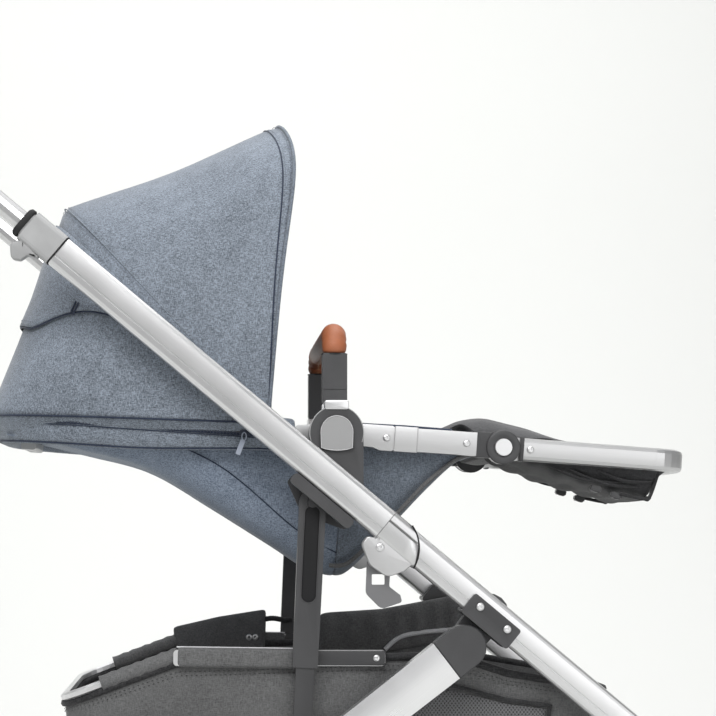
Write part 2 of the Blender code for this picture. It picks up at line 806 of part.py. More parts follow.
def make_rear_leg(side, y_side):
    """The wide rear leg, its D-shaped cap on the pivot, and the stub axle at its foot."""
    angle = heading(LEG_PIVOT, REAR_AXLE)
    half = REAR_LEG_HEIGHT / 2
    cap_end = along(LEG_PIVOT, angle, CAP_LENGTH)
    inner, outer = y_side * (TUBE_IN - 0.0002), y_side * (TUBE_OUT + 0.0022)
    cap = add_piece(
        f"rear_leg_cap_{side}",
        slab(capsule_square(LEG_PIVOT, cap_end, half + 0.0006, half + 0.0006), inner, outer),
        "dark_plastic",
        "rear_frame",
    )
    cap.modifiers.new("edge", "BEVEL").width = 0.0012
    foot = along(REAR_AXLE, angle, 0.012)
    outline = arc(foot, half * 0.86, angle - pi / 2, angle + pi / 2, 10)
    outline += [along(cap_end, angle, GAP, half), along(cap_end, angle, GAP, -half)]
    leg = add_piece(
        f"rear_leg_{side}",
        slab(outline, y_side * TUBE_IN, y_side * (TUBE_OUT + 0.002)),
        "silver",
        "rear_frame",
    )
    end = y_side * (REAR_WHEEL_IN + REAR_TYRE + 0.002)
    join(leg, disc(REAR_AXLE, AXLE_RADIUS, y_side * 0.230, end, 12))
    join(leg, disc(REAR_AXLE, 0.016, y_side * 0.230, y_side * (REAR_WHEEL_IN - 0.001), 16))


def make_rear_axle():
    """The bar between the rear legs, with the brake pedal hinged under its middle."""
    length = TUBE_IN - GAP
    bar = add_piece(
        "rear_axle_bar",
        disc(REAR_AXLE, 0.0125, -length, length, 16),
        "dark_plastic",
        "rear_frame",
    )
    ears = capsule(REAR_AXLE, PEDAL_PIN, 0.0125, 0.0085, 6)
    for y in (-PEDAL_HALF - 0.0085, PEDAL_HALF + 0.0005):
        join(bar, slab(ears, y, y + 0.008))
    pedal_tip = along(PEDAL_PIN, radians(176), 0.062)
    outline = capsule(PEDAL_PIN, pedal_tip, 0.0075, 0.0045, 6)
    pedal = add_piece(
        "brake_pedal",
        slab(outline, -PEDAL_HALF, PEDAL_HALF),
        "grey_plastic",
        "brake_pedal",
    )
    for step in (0.030, 0.040, 0.050):
        rib = along(PEDAL_PIN, radians(176), step, -0.0055)
        join(pedal, disc(rib, 0.0022, -PEDAL_HALF + 0.006, PEDAL_HALF - 0.006, 6))


def make_wheel(name, centre, middle, radius, rim, tyre, spokes, body_name, bore_radius):
    """A spoked rim and its tyre; the rim is a turned profile with windows between the spokes."""
    half = tyre / 2
    seat = rim - 0.0008
    hub = bore_radius + 0.0125
    web = half * 0.38
    profile = [(bore_radius, -half), (hub, -half), (hub + 0.003, -web), (seat - 0.011, -web)]
    profile += [(seat - 0.004, -half * 0.72), (seat, -half * 0.72), (seat, half * 0.72)]
    profile += [(seat - 0.004, half * 0.72), (seat - 0.011, web), (hub + 0.003, web)]
    profile += [(hub, half), (bore_radius, half)]
    profile = [(distance, y + middle) for distance, y in profile]
    wheel = add_piece(
        f"{name}_rim",
        turn_about_y(profile, centre, 4 * spokes),
        "grey_plastic",
        body_name,
    )
    step = 2 * pi / spokes
    low, high = hub + 0.010, seat - 0.014
    for i in range(spokes):
        start = i * step
        inner = (0.006 + 0.003) / low
        outer = (0.006 + 0.001) / high
        window = arc(centre, low, start + inner, start + step - inner, 3)
        window += arc(centre, high, start + step - outer, start + outer, 5)
        cut(wheel, slab(window, middle - half, middle + half))
    tread = [(rim, -half * 0.66), (rim, half * 0.66), (rim + 0.004, half * 0.88)]
    crown = radius - rim - 0.004
    for i in range(6):
        turn = pi * i / 5
        swell = (sin(turn) / sin(2 * pi / 5)) ** 0.6
        tread.append((rim + 0.004 + crown * swell, half * cos(turn)))
    tread.append((rim + 0.004, -half * 0.88))
    tread = [(distance, y + middle) for distance, y in tread]
    add_piece(f"{name}_tyre", turn_about_y(tread, centre, 28), "tyre", body_name)


def make_front_fork(side, y_side):
    """The swivelling fork: a stem in the socket, a crown, and two arms down to the axle."""
    y = y_side * WHEEL_PLANE
    half = FRONT_TYRE / 2
    crown_low = FRONT_AXLE[1] + FRONT_RADIUS + 0.004
    crown = rounded(
        [
            (SWIVEL_X - 0.034, crown_low, 0.003),
            (SWIVEL_X + 0.016, crown_low, 0.003),
            (SWIVEL_X + 0.018, SOCKET_LOW - GAP, 0.001),
            (SWIVEL_X - 0.018, SOCKET_LOW - GAP, 0.001),
        ],
        3,
    )
    wide = half + 0.012
    fork = add_piece(
        f"front_fork_{side}",
        slab(crown, y - wide + 0.001, y + wide - 0.001),
        "dark_plastic",
        f"front_fork_{side}",
    )
    join(fork, upright(SWIVEL_X, y, STEM_RADIUS, SOCKET_LOW - 0.003, STEM_TOP, 12))
    shoulder = (SWIVEL_X - 0.016, SOCKET_LOW - GAP - 0.0160)
    arm = capsule(shoulder, FRONT_AXLE, 0.0155, 0.0130, 6)
    for sign in (-1, 1):
        join(fork, slab(arm, y + sign * (half + 0.003), y + sign * (half + 0.011)))
    join(fork, disc(FRONT_AXLE, AXLE_RADIUS, y - half - 0.006, y + half + 0.006, 12))


def make_cross_bar():
    """The bar between the front legs, with its foot plate."""
    length = TUBE_IN - GAP
    bar = add_piece(
        "front_cross_bar",
        disc(CROSS_BAR, CROSS_TUBE, -length, length, 12),
        "dark_plastic",
        "chassis",
    )
    plate = strip(
        along(CROSS_BAR, FRAME_ANGLE, -0.022),
        along(CROSS_BAR, FRAME_ANGLE, 0.030),
        0.004,
        0.013,
        0.003,
    )
    join(bar, slab(plate, -0.105, 0.105))


def make_latch():
    """The hook behind the right fold casting that holds the frame when it is folded."""
    top = (LATCH_PIN[0], LATCH_PIN[1])
    outline = rounded(
        [
            (top[0] - 0.014, top[1] + 0.012, 0.010),
            (top[0] - 0.016, top[1] - 0.034, 0.009),
            (top[0] + 0.002, top[1] - 0.052, 0.008),
            (top[0] + 0.026, top[1] - 0.044, 0.003),
            (top[0] + 0.024, top[1] - 0.036, 0.002),
            (top[0] + 0.011, top[1] - 0.026, 0.004),
            (top[0] + 0.014, top[1] + 0.012, 0.010),
        ],
        4,
    )
    latch = add_piece("fold_latch", slab(outline, -LATCH_OUT, -LATCH_IN), "grey_plastic", "latch")
    window = rounded(
        [
            (top[0] - 0.009, top[1] - 0.024, 0.001),
            (top[0] + 0.006, top[1] - 0.024, 0.001),
            (top[0] + 0.006, top[1] - 0.012, 0.001),
            (top[0] - 0.009, top[1] - 0.012, 0.001),
        ],
        2,
    )
    cut(latch, slab(window, -LATCH_OUT - 0.01, -LATCH_IN + 0.01))
    cut(latch, disc(LATCH_PIN, 0.0042, -LATCH_OUT - 0.01, -LATCH_IN + 0.01, 12))


def on_seat(distance, rise=0.0):
    """A point beside the seat's own line, which runs through the hub."""
    return along(SEAT_HUB, SEAT_TILT, distance, rise)


def smooth(points, steps):
    """A Catmull-Rom curve through the points."""
    line = []
    for i in range(len(points) - 1):
        before, start = Vector(points[max(i - 1, 0)]), Vector(points[i])
        end, after = Vector(points[i + 1]), Vector(points[min(i + 2, len(points) - 1)])
        for step in range(steps):
            t = step / steps
            line.append(
                0.5
                * (
                    2 * start
                    + (end - before) * t
                    + (2 * before - 5 * start + 4 * end - after) * t**2
                    + (3 * start - before - 3 * end + after) * t**3
                )
            )
    line.append(Vector(points[-1]))
    return line


def seat_profile(steps):
    """The seat's underside as (distance along the seat line, depth below it)."""
    depths = [(distance, SEAT_DEPTH * share) for distance, share in SEAT_FORM]
    return smooth(depths, steps)


def make_seat_rail(side, y_side):
    """The silver rail from the hub's disc to the leg rest's hinge."""
    rail_low, rail_high = -0.0140, 0.0136
    inner, outer = y_side * RAIL_IN, y_side * RAIL_OUT
    hinge = span(SEAT_HUB, LEGREST_HINGE)
    end = on_seat(hinge - 0.016)
    rail = add_piece(
        f"seat_rail_{side}",
        slab(strip(on_seat(0.060), end, rail_low, rail_high, 0.001), inner, outer),
        "silver",
        "seat",
    )
    bracket = rounded(
        [
            (*on_seat(-0.046, -0.008), 0.003),
            (*on_seat(0.046, -0.012), 0.002),
            (*on_seat(0.054, -0.0150), 0.002),
            (*on_seat(0.0690, -0.0150), 0.001),
            (*on_seat(0.0690, 0.0146), 0.001),
            (*on_seat(0.030, 0.0146), 0.002),
            (*on_seat(-0.046, 0.008), 0.003),
        ],
        3,
    )
    join(rail, slab(bracket, inner, y_side * (RAIL_OUT + 0.001)))
    sleeve_band = strip(on_seat(0.071), on_seat(0.098), rail_low - 0.0010, rail_high + 0.0010)
    join(rail, slab(sleeve_band, inner, y_side * (RAIL_OUT + 0.0010)))
    join(rail, disc(SEAT_HUB, 0.0270, inner, y_side * (HOUSING_IN - GAP), 20))
    post = strip(
        (SEAT_HUB[0], SEAT_HUB[1] + 0.020),
        (SEAT_HUB[0], BUMPER_FOOT - GAP),
        -BUMPER_ARM_WIDTH / 2,
        BUMPER_ARM_WIDTH / 2,
    )
    join(rail, slab(post, inner, y_side * (HOUSING_IN - GAP)))
    join(rail, disc(LEGREST_HINGE, HINGE_RADIUS, inner, y_side * (RAIL_OUT + 0.003), 20))
    pocket = y_side * (RAIL_OUT + 0.003 - LEGREST_BUTTON_DEPTH)
    cut(rail, disc(LEGREST_HINGE, LEGREST_BUTTON + GAP, pocket, y_side * (RAIL_OUT + 0.01), 16))
    for distance in (0.0614, 0.1565):
        face = y_side * (RAIL_OUT + (0.001 if distance < 0.07 else 0.0))
        join(rail, screw_head(on_seat(distance), face, y_side, 0.0040))
    low = pocket + y_side * (LEGREST_BUTTON_TRAVEL + GAP)
    add_piece(
        f"legrest_button_{side}",
        disc(LEGREST_HINGE, LEGREST_BUTTON, low, y_side * (RAIL_OUT + 0.0065), 16),
        "silver",
        f"legrest_button_{side}",
    )


def flat_u(start, reach, half, corner, place, steps=6):
    """A U-shaped line: along one side, round two corners, and back along the other side."""
    turns = [pi / 2 * i / steps for i in range(steps + 1)]
    bend = [(reach - corner * (1 - sin(t)), half - corner * (1 - cos(t))) for t in turns]
    left = [(start, half)] + bend
    right = [(distance, -y) for distance, y in reversed(left)]
    line = []
    for distance, y in left + right:
        x, z = place(distance)
        line.append((x, y, z))
    return line


def make_seat_back():
    """The wrapped tube round the back of the seat, and the lever under its head."""
    line = flat_u(0.0465, SEAT_BACK_LENGTH, SEAT_TUBE_PLANE, SEAT_TUBE_CORNER, lambda d: on_seat(-d))
    normal = (-sin(SEAT_TILT), 0, cos(SEAT_TILT))
    section = ellipse(SEAT_TUBE_RADIUS, SEAT_TUBE_RADIUS, 12)
    add_piece("seat_back_frame", sweep(line, section, normal), "blue_fabric", "seat")
    profile = seat_profile(4)
    lever_at = -0.3640
    depth = depth_at(profile, lever_at + 0.010) + GAP
    outline = rounded(
        [
            (*on_seat(lever_at - 0.009, -depth - 0.0100), 0.003),
            (*on_seat(lever_at + 0.009, -depth - 0.0100), 0.003),
            (*on_seat(lever_at + 0.009, -depth), 0.001),
            (*on_seat(lever_at - 0.009, -depth), 0.001),
        ],
        3,
    )
    add_piece("recline_lever", slab(outline, -0.060, 0.060), "grey_plastic", "recline_lever")


def depth_at(profile, distance):
    """The seat's depth at a distance along its line."""
    for first, second in zip(profile, profile[1:]):
        if first[0] <= distance <= second[0]:
            share = (distance - first[0]) / (second[0] - first[0])
            return first[1] + share * (second[1] - first[1])
    return profile[-1][1]


def inside_tube(distance):
    """How far across the seat's cloth reaches inside the round corners of its tube."""
    corner = SEAT_BACK_LENGTH - SEAT_TUBE_CORNER
    radius = SEAT_TUBE_CORNER - SEAT_TUBE_RADIUS - 3 * GAP
    past = min(max(-distance - corner, 0.0), radius)
    round_half = SEAT_TUBE_PLANE - SEAT_TUBE_CORNER + (radius**2 - past**2) ** 0.5
    return min(SEAT_HALF_WIDTH, round_half)


def make_seat_shell():
    """The hanging fabric of the seat: a trough whose side walls and floor are one cloth."""
    shape = bmesh.new()
    rings = []
    for distance, depth in seat_profile(2):
        width = inside_tube(distance)
        ring = []
        for inset, order in ((0.0, 1), (SEAT_CLOTH, -1)):
            half = width - inset
            low = depth - inset
            corner = min(0.045, low * 0.7) - inset * 0.4
            side = [(half, 0.002)]
            for i in range(5):
                turn = pi / 2 * i / 4
                side.append((half - corner * (1 - cos(turn)), -low + corner * (1 - sin(turn))))
            loop = side + [(-y, rise) for y, rise in reversed(side)]
            ring += loop[::order]
        points = [(on_seat(distance, rise), y) for y, rise in ring]
        rings.append([shape.verts.new((place[0], y, place[1])) for place, y in points])
    bridge(shape, rings, caps=True)
    add_piece("seat_shell", shape, "blue_fabric", "seat", smooth=60)


def make_seat_pad():
    """The quilted pad on the seat's floor, sewn across into channels."""
    floor = [point for point in seat_profile(4) if PAD_FROM < point[0] < PAD_TO]
    shape = bmesh.new()
    rings = []
    run = 0.0
    for i, (distance, depth) in enumerate(floor):
        before = floor[max(i - 1, 0)]
        after = floor[min(i + 1, len(floor) - 1)]
        slope = atan2(before[1] - after[1], after[0] - before[0]) + SEAT_TILT
        run += span(before, (distance, depth))
        edge = min(1.0, (i + 0.6) / 2.5, (len(floor) - i - 0.4) / 2.5)
        puff = 0.72 + 0.28 * abs(sin(pi * run / PAD_CHANNEL)) ** 0.6
        thick = PAD_THICKNESS * puff * edge**0.5
        base = on_seat(distance, -depth + SEAT_CLOTH + PAD_GAP)
        ring = []
        for y_share, rise_share in PAD_SECTION:
            x, z = along(base, slope, 0, thick * rise_share)
            ring.append(shape.verts.new((x, PAD_HALF_WIDTH * y_share, z)))
        rings.append(ring)
    bridge(shape, rings, caps=True)
    add_piece("seat_pad", shape, "pad_fabric", "seat", smooth=70)

    profile = seat_profile(4)
    at = 0.0900
    slope = atan2(depth_at(profile, at - 0.01) - depth_at(profile, at + 0.01), 0.02) + SEAT_TILT
    base = on_seat(at, -depth_at(profile, at) + SEAT_CLOTH + PAD_GAP)
    foot = along(base, slope, 0, PAD_THICKNESS)
    buckle = rounded(
        [
            (*along(foot, slope, -0.030, 0), 0.004),
            (*along(foot, slope, 0.026, 0), 0.004),
            (*along(foot, slope, 0.020, 0.014), 0.006),
            (*along(foot, slope, -0.026, 0.014), 0.006),
        ],
        3,
    )
    piece = add_piece("harness_buckle", slab(buckle, -0.026, 0.026), "dark_plastic", "seat")
    press = disc(along(foot, slope, -0.002, 0.013), 0.0085, -0.010, 0.010, 12)
    join(piece, press)


def make_legrest():
    """The leg rest: a U-shaped tube on two lugs, and the padded panel hung inside it."""
    direction = SEAT_TILT + LEGREST_DROP

    def place(distance, rise=0.0):
        return along(LEGREST_HINGE, direction, distance, rise)

    middle = (LUG_IN + RAIL_OUT) / 2
    normal = (-sin(direction), 0, cos(direction))
    line = flat_u(HINGE_RADIUS + 0.0035, LEGREST_LENGTH, middle, 0.030, place)
    section = soft_box(LEGREST_HEIGHT / 2, LEGREST_WIDTH / 2, 0.0055, 2)
    frame = add_piece("legrest_frame", sweep(line, section, normal), "silver", "legrest")
    for y_side in SIDES.values():
        lug = capsule(LEGREST_HINGE, place(0.034), HINGE_RADIUS - 0.0025, 0.0105, 8)
        join(frame, slab(lug, y_side * LUG_IN, y_side * (RAIL_IN - GAP)))
        face = y_side * (middle + LEGREST_WIDTH / 2)
        join(frame, screw_head(place(0.034), face, y_side, 0.0040))

    corners = [
        (*place(0.024, -0.010), 0.004),
        (*place(0.060, -0.028), 0.020),
        (*place(0.146, -0.046), 0.006),
        (*place(0.156, -0.040), 0.004),
        (*place(0.164, -0.012), 0.006),
        (*place(0.176, 0.004), 0.005),
        (*place(0.170, 0.010), 0.004),
        (*place(0.090, 0.016), 0.040),
        (*place(0.024, 0.018), 0.006),
    ]
    half = LUG_IN - 0.0008
    panel = add_piece(
        "legrest_panel",
        slab(rounded(corners, 3), -half, half),
        "charcoal_fabric",
        "legrest",
    )
    for y in (-0.080, 0.080):
        for distance in (0.098, 0.122):
            clip = strip(place(distance, -0.042), place(distance + 0.012, -0.044), -0.004, 0.008)
            join(panel, slab(clip, y - 0.009, y + 0.009))


def make_bumper():
    """The bumper bar: two arms that stand on the seat rails, and the leather grip over them."""
    middle = (RAIL_IN + HOUSING_IN) / 2
    for side, y_side in SIDES.items():
        low = (SEAT_HUB[0], BUMPER_FOOT)
        high = (SEAT_HUB[0], BUMPER_FOOT + BUMPER_ARM)
        half = BUMPER_ARM_WIDTH / 2
        arm = add_piece(
            f"bumper_arm_{side}",
            slab(
                strip(low, high, -half, half, 0.003),
                y_side * (middle - 0.0115),
                y_side * (middle + 0.0115),
            ),
            "dark_plastic",
            "bumper_bar",
        )
        seam = strip(
            (low[0], low[1] + 0.016), (low[0], low[1] + 0.0175), -half - 0.001, half + 0.001
        )
        collar = slab(seam, y_side * (middle + 0.0105), y_side * (middle + 0.02))
        cut(arm, collar)

    def place(height):
        return (SEAT_HUB[0], BUMPER_FOOT + height)

    line = flat_u(BUMPER_ARM + GAP, BUMPER_RISE, middle, BUMPER_CORNER, place, 5)
    section = ellipse(BUMPER_ARM_WIDTH / 2 - 0.0006, BUMPER_GRIP_THICKNESS / 2, 14)
    add_piece("bumper_grip", sweep(line, section, (1, 0, 0)), "leather", "bumper_bar")


def canopy_reach(angle):
    """The canopy's reach from its pivot: straight cloth between the two bows and the seat's head."""
    stops = [(FRONT_BOW_ANGLE, FRONT_REACH), (REAR_BOW_ANGLE, REAR_REACH), (BACK_ANGLE, BACK_REACH)]
    for (start, near), (end, far) in zip(stops, stops[1:]):
        if angle <= end + 1e-9:
            share = (angle - start) / (end - start)
            chord = near * far * sin(end - start)
            chord /= near * sin(angle - start) + far * sin(end - angle)
            slack = CLOTH_SAG * sin(pi * share) ** 2
            return chord - slack
    return BACK_REACH


def canopy_arch(angle, reach, half_width, steps=18):
    """One arch of the canopy: (distance across, reach from the pivot), from side to side."""
    share = max(0.0, (angle - REAR_BOW_ANGLE) / (BACK_ANGLE - REAR_BOW_ANGLE))
    power = ARCH_POWER + (HEAD_POWER - ARCH_POWER) * share
    arch = []
    for i in range(steps + 1):
        turn = pi * i / steps
        across = half_width * abs(cos(turn)) ** power * (1 if cos(turn) >= 0 else -1)
        arch.append((across, CANOPY_FOOT + (reach - CANOPY_FOOT) * abs(sin(turn)) ** power))
    return arch


def canopy_point(angle, reach, y):
    x, z = along(CANOPY_PIVOT, angle, reach)
    return (x, y, z)


def make_canopy():
    """The canopy's cloth and the two bows under it."""
    shape = bmesh.new()
    rings = []
    angles = [FRONT_BOW_ANGLE + (REAR_BOW_ANGLE - FRONT_BOW_ANGLE) * i / 8 for i in range(8)]
    angles += [REAR_BOW_ANGLE + (BACK_ANGLE - REAR_BOW_ANGLE) * i / 6 for i in range(7)]
    for angle in angles:
        reach = canopy_reach(angle)
        outer = canopy_arch(angle, reach, CANOPY_HALF_WIDTH)
        inner = canopy_arch(angle, reach - CANOPY_CLOTH, CANOPY_HALF_WIDTH - CANOPY_CLOTH)
        loop = outer + inner[::-1]
        rings.append([shape.verts.new(canopy_point(angle, r, y)) for y, r in loop])
    bridge(shape, rings, caps=True)
    add_piece("canopy_fabric", shape, "blue_fabric", "seat", smooth=60)

    inset = CANOPY_CLOTH + BOW_RADIUS + 2 * GAP
    bows = {
        "canopy_front_bow": (FRONT_BOW_ANGLE + radians(2.0), FRONT_BOW_FOOT, "canopy"),
        "canopy_rear_bow": (REAR_BOW_ANGLE, REAR_BOW_FOOT, "seat"),
    }
    for name, (angle, foot, carrier) in bows.items():
        reach = canopy_reach(angle) - inset - GAP
        half_width = CANOPY_HALF_WIDTH - inset
        arch = canopy_arch(angle, reach, half_width)
        arch = [(across, r) for across, r in arch if r > foot + 0.010]
        arch = [(half_width, foot)] + arch + [(-half_width, foot)]
        line = [canopy_point(angle, r, y) for y, r in arch]
        normal = (-sin(angle), 0, cos(angle))
        bow = add_piece(
            name, sweep(line, ellipse(BOW_RADIUS, BOW_RADIUS, 6), normal), "silver", carrier
        )
        plate_in = SEAT_TUBE_PLANE + SEAT_TUBE_RADIUS + GAP
        plate_out = CANOPY_HALF_WIDTH - inset + 0.002
        top = along(CANOPY_PIVOT, angle, foot + 0.004)
        seat = CANOPY_PIVOT if carrier == "canopy" else rear_clip()
        for y_side in SIDES.values():
            clip = capsule(seat, top, 0.0075, 0.0045, 6)
            join(bow, slab(clip, y_side * plate_in, y_side * plate_out))


def rear_clip():
    """The place on the seat tube's side that the rear bow's clip holds."""
    x = along(CANOPY_PIVOT, REAR_BOW_ANGLE, REAR_BOW_FOOT)[0]
    return (x, on_seat((x - SEAT_HUB[0]) / cos(SEAT_TILT))[1] + 0.002)


def make_basket():
    """The storage basket: a cloth tub, open at the top, on a rail with two link bars."""
    corners = [
        (BASKET_BACK + 0.037, BASKET_FLOOR, 0.030),
        (BASKET_FRONT - 0.045, BASKET_FLOOR, 0.040),
        (BASKET_FRONT, BASKET_SIDE_HIGH - 0.050, 0.012),
        (0.2150, BASKET_SIDE_HIGH - 0.030, 0.040),
        (0.1700, BASKET_SIDE_HIGH, 0.020),
        (-0.1690, BASKET_SIDE_HIGH - 0.016, 0.030),
        (BASKET_BACK, BASKET_BACK_HIGH, 0.012),
    ]
    tub = add_piece(
        "basket",
        slab(rounded(corners, 4), -BASKET_HALF_WIDTH, BASKET_HALF_WIDTH),
        "charcoal_fabric",
        "chassis",
    )
    c = BASKET_CLOTH
    room = [
        (BASKET_BACK + 0.037 + c, BASKET_FLOOR + c, 0.026),
        (BASKET_FRONT - 0.045 - c, BASKET_FLOOR + c, 0.036),
        (BASKET_FRONT - c, BASKET_SIDE_HIGH - 0.050, 0.0),
        (BASKET_FRONT - c, BASKET_SIDE_HIGH + 0.050, 0.0),
        (BASKET_BACK + c, BASKET_SIDE_HIGH + 0.050, 0.0),
        (BASKET_BACK + c, BASKET_BACK_HIGH, 0.0),
    ]
    half = BASKET_HALF_WIDTH - c
    cut(tub, slab(rounded(room, 4), -half, half))

    start = (-0.1690, BASKET_SIDE_HIGH - 0.016 + RAIL_LIFT)
    end = (BASKET_BACK, BASKET_BACK_HIGH + RAIL_LIFT)
    slope = heading(start, end)

    def place(distance):
        return along(start, slope, distance)

    plane = BASKET_HALF_WIDTH - 0.002
    line = flat_u(0.0, span(start, end), plane, 0.040, place)
    normal = (sin(slope), 0, -cos(slope))
    section = ellipse(BASKET_RAIL, BASKET_RAIL, 6)
    rail = add_piece("basket_rail", sweep(line, section, normal), "silver", "chassis")
    bar = strip(place(0.004), LINK_END, -0.009, 0.009, 0.004)
    for y_side in SIDES.values():
        inner, outer = y_side * (BASKET_HALF_WIDTH + GAP), y_side * (POST_IN - 0.0006)
        join(rail, slab(bar, inner, outer))


def make_bodies():
    body("chassis", (0, 0))
    front = FRONT_AXLE[0] + FRONT_RADIUS
    grip_reach = hypot(GRIP_RADIUS * sin(FRAME_ANGLE), (GRIP_RADIUS - 0.002) * cos(FRAME_ANGLE))
    back = handle_point(HANDLE_REACH, 0)[0] - grip_reach
    bodies["chassis"][0].location.x = -(front + back) / 2
    body("upper_frame", FOLD_PIN, parent="chassis")
    body("handlebar", COLLAR_END, parent="upper_frame")
    body("handle_button", handle_point(HANDLE_REACH, 0)[::2], parent="handlebar")
    body("latch", LATCH_PIN, parent="upper_frame")
    body("rear_frame", LEG_PIVOT, parent="chassis")
    body("brake_pedal", PEDAL_PIN, parent="rear_frame")
    body("seat", SEAT_HUB, parent="upper_frame")
    body("legrest", LEGREST_HINGE, parent="seat")
    body("recline_lever", on_seat(-0.364, -0.035), parent="seat")
    hinge_y = (RAIL_IN + HOUSING_IN) / 2
    body("bumper_bar", (SEAT_HUB[0], BUMPER_FOOT), y=hinge_y, parent="seat")
    body("canopy", CANOPY_PIVOT, parent="seat")
    for side, y_side in SIDES.items():
        tube = y_side * WHEEL_PLANE
        rear = y_side * (REAR_WHEEL_IN + REAR_TYRE / 2)
        body(f"fold_trigger_{side}", COLLAR_END, tube, "upper_frame")
        body(f"post_{side}", POST_PIVOT, tube, "upper_frame")
        body(f"seat_release_button_{side}", SEAT_HUB, y_side * HOUSING_OUT, "upper_frame")
        body(f"legrest_button_{side}", LEGREST_HINGE, y_side * RAIL_OUT, "seat")
        body(f"rear_wheel_{side}", REAR_AXLE, rear, "rear_frame")
        body(f"front_fork_{side}", (SWIVEL_X, SOCKET_LOW), tube, "chassis")
        body(f"front_wheel_{side}", FRONT_AXLE, tube, f"front_fork_{side}")


def main():
    clear_scene()
    make_materials()
    make_bodies()
    for side, y_side in SIDES.items():
        make_upper_tubes(side, y_side)
        make_front_legs(side, y_side)
        make_lower_bracket(side, y_side)
        make_seat_bracket(side, y_side)
        make_seat_mount(side, y_side)
        make_post(side, y_side)
        make_fold_trigger(side, y_side)
        make_rear_leg(side, y_side)
        make_front_fork(side, y_side)
        make_seat_rail(side, y_side)
        rear_middle = y_side * (REAR_WHEEL_IN + REAR_TYRE / 2)
        make_wheel(
            f"rear_{side}", REAR_AXLE, rear_middle, REAR_RADIUS, REAR_RIM, REAR_TYRE,
            REAR_SPOKES, f"rear_wheel_{side}", AXLE_RADIUS + GAP,
        )
        make_wheel(
            f"front_{side}", FRONT_AXLE, y_side * WHEEL_PLANE, FRONT_RADIUS, FRONT_RIM,
            FRONT_TYRE, FRONT_SPOKES, f"front_wheel_{side}", AXLE_RADIUS + GAP,
        )
    make_handle()
    make_rear_axle()
    make_cross_bar()
    make_latch()
    make_seat_back()
    make_seat_shell()
    make_seat_pad()
    make_legrest()
    make_bumper()
    make_canopy()
    make_basket()


main()
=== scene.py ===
"""A pushchair with soft goods and finishes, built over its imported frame."""

from math import atan2, cos, pi, radians, sin, sqrt

import bmesh
import bpy
from bpy.props import FloatProperty, FloatVectorProperty, PointerProperty
from mathutils import Matrix, Vector, bvhtree, noise


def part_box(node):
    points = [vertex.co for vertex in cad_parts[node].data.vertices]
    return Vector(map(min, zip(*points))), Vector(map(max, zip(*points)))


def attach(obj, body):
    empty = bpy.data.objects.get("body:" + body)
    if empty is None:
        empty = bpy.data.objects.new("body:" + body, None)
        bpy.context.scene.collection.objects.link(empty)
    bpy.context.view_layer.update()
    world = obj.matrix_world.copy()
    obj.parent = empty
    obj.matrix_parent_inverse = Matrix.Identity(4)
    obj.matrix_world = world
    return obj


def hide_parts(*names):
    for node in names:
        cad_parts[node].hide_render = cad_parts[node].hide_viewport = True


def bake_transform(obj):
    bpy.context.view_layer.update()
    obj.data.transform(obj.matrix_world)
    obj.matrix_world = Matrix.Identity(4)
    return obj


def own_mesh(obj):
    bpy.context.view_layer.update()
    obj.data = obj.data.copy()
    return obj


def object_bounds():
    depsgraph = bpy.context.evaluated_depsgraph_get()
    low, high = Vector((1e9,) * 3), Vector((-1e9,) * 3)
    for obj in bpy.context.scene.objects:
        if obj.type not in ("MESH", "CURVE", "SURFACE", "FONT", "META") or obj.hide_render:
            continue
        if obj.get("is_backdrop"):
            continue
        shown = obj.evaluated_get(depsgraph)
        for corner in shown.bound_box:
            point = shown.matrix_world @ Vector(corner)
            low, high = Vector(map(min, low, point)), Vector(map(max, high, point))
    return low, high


bl_info = {
    "name": "Pushchair",
    "version": (1, 0, 0),
    "blender": (4, 5, 0),
    "location": "View3D > Sidebar > Pushchair",
    "description": "Cloth, leather, trim and finishes of a pushchair over its frame",
    "category": "Object",
}

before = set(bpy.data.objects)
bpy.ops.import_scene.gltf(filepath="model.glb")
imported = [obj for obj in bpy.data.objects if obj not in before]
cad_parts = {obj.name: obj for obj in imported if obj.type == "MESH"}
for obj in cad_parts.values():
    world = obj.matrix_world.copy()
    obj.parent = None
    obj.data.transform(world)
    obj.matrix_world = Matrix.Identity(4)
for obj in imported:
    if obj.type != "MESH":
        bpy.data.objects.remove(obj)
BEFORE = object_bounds()

# Points of the side view, (X, Z), as the frame has them.
SHIFT = -0.007398
SEAT_HUB = (0.0138 + SHIFT, 0.6205)
SEAT_TILT = radians(-3.7)
CANOPY_PIVOT = (-0.0644 + SHIFT, 0.6330)
LEGREST_HINGE = (0.2132 + SHIFT, 0.6058)
COLLAR_END = (-0.3072 + SHIFT, 0.8272)
FOLD_PIN = (0.0621 + SHIFT, 0.4888)
FOLD_LINE = (0.1012 + SHIFT, 0.4877)
FRAME_ANGLE = radians(-39.7)
REAR_LEG_FOOT = (-0.1575 + SHIFT, 0.1335)
REAR_LEG_ANGLE = radians(37.5)
TUBE_MIDDLE = 0.2300
TUBE_HALF = 0.0185
GROOVE_RISE = TUBE_HALF - 0.33 * 2 * TUBE_HALF
SIDES = {"right": -1, "left": 1}


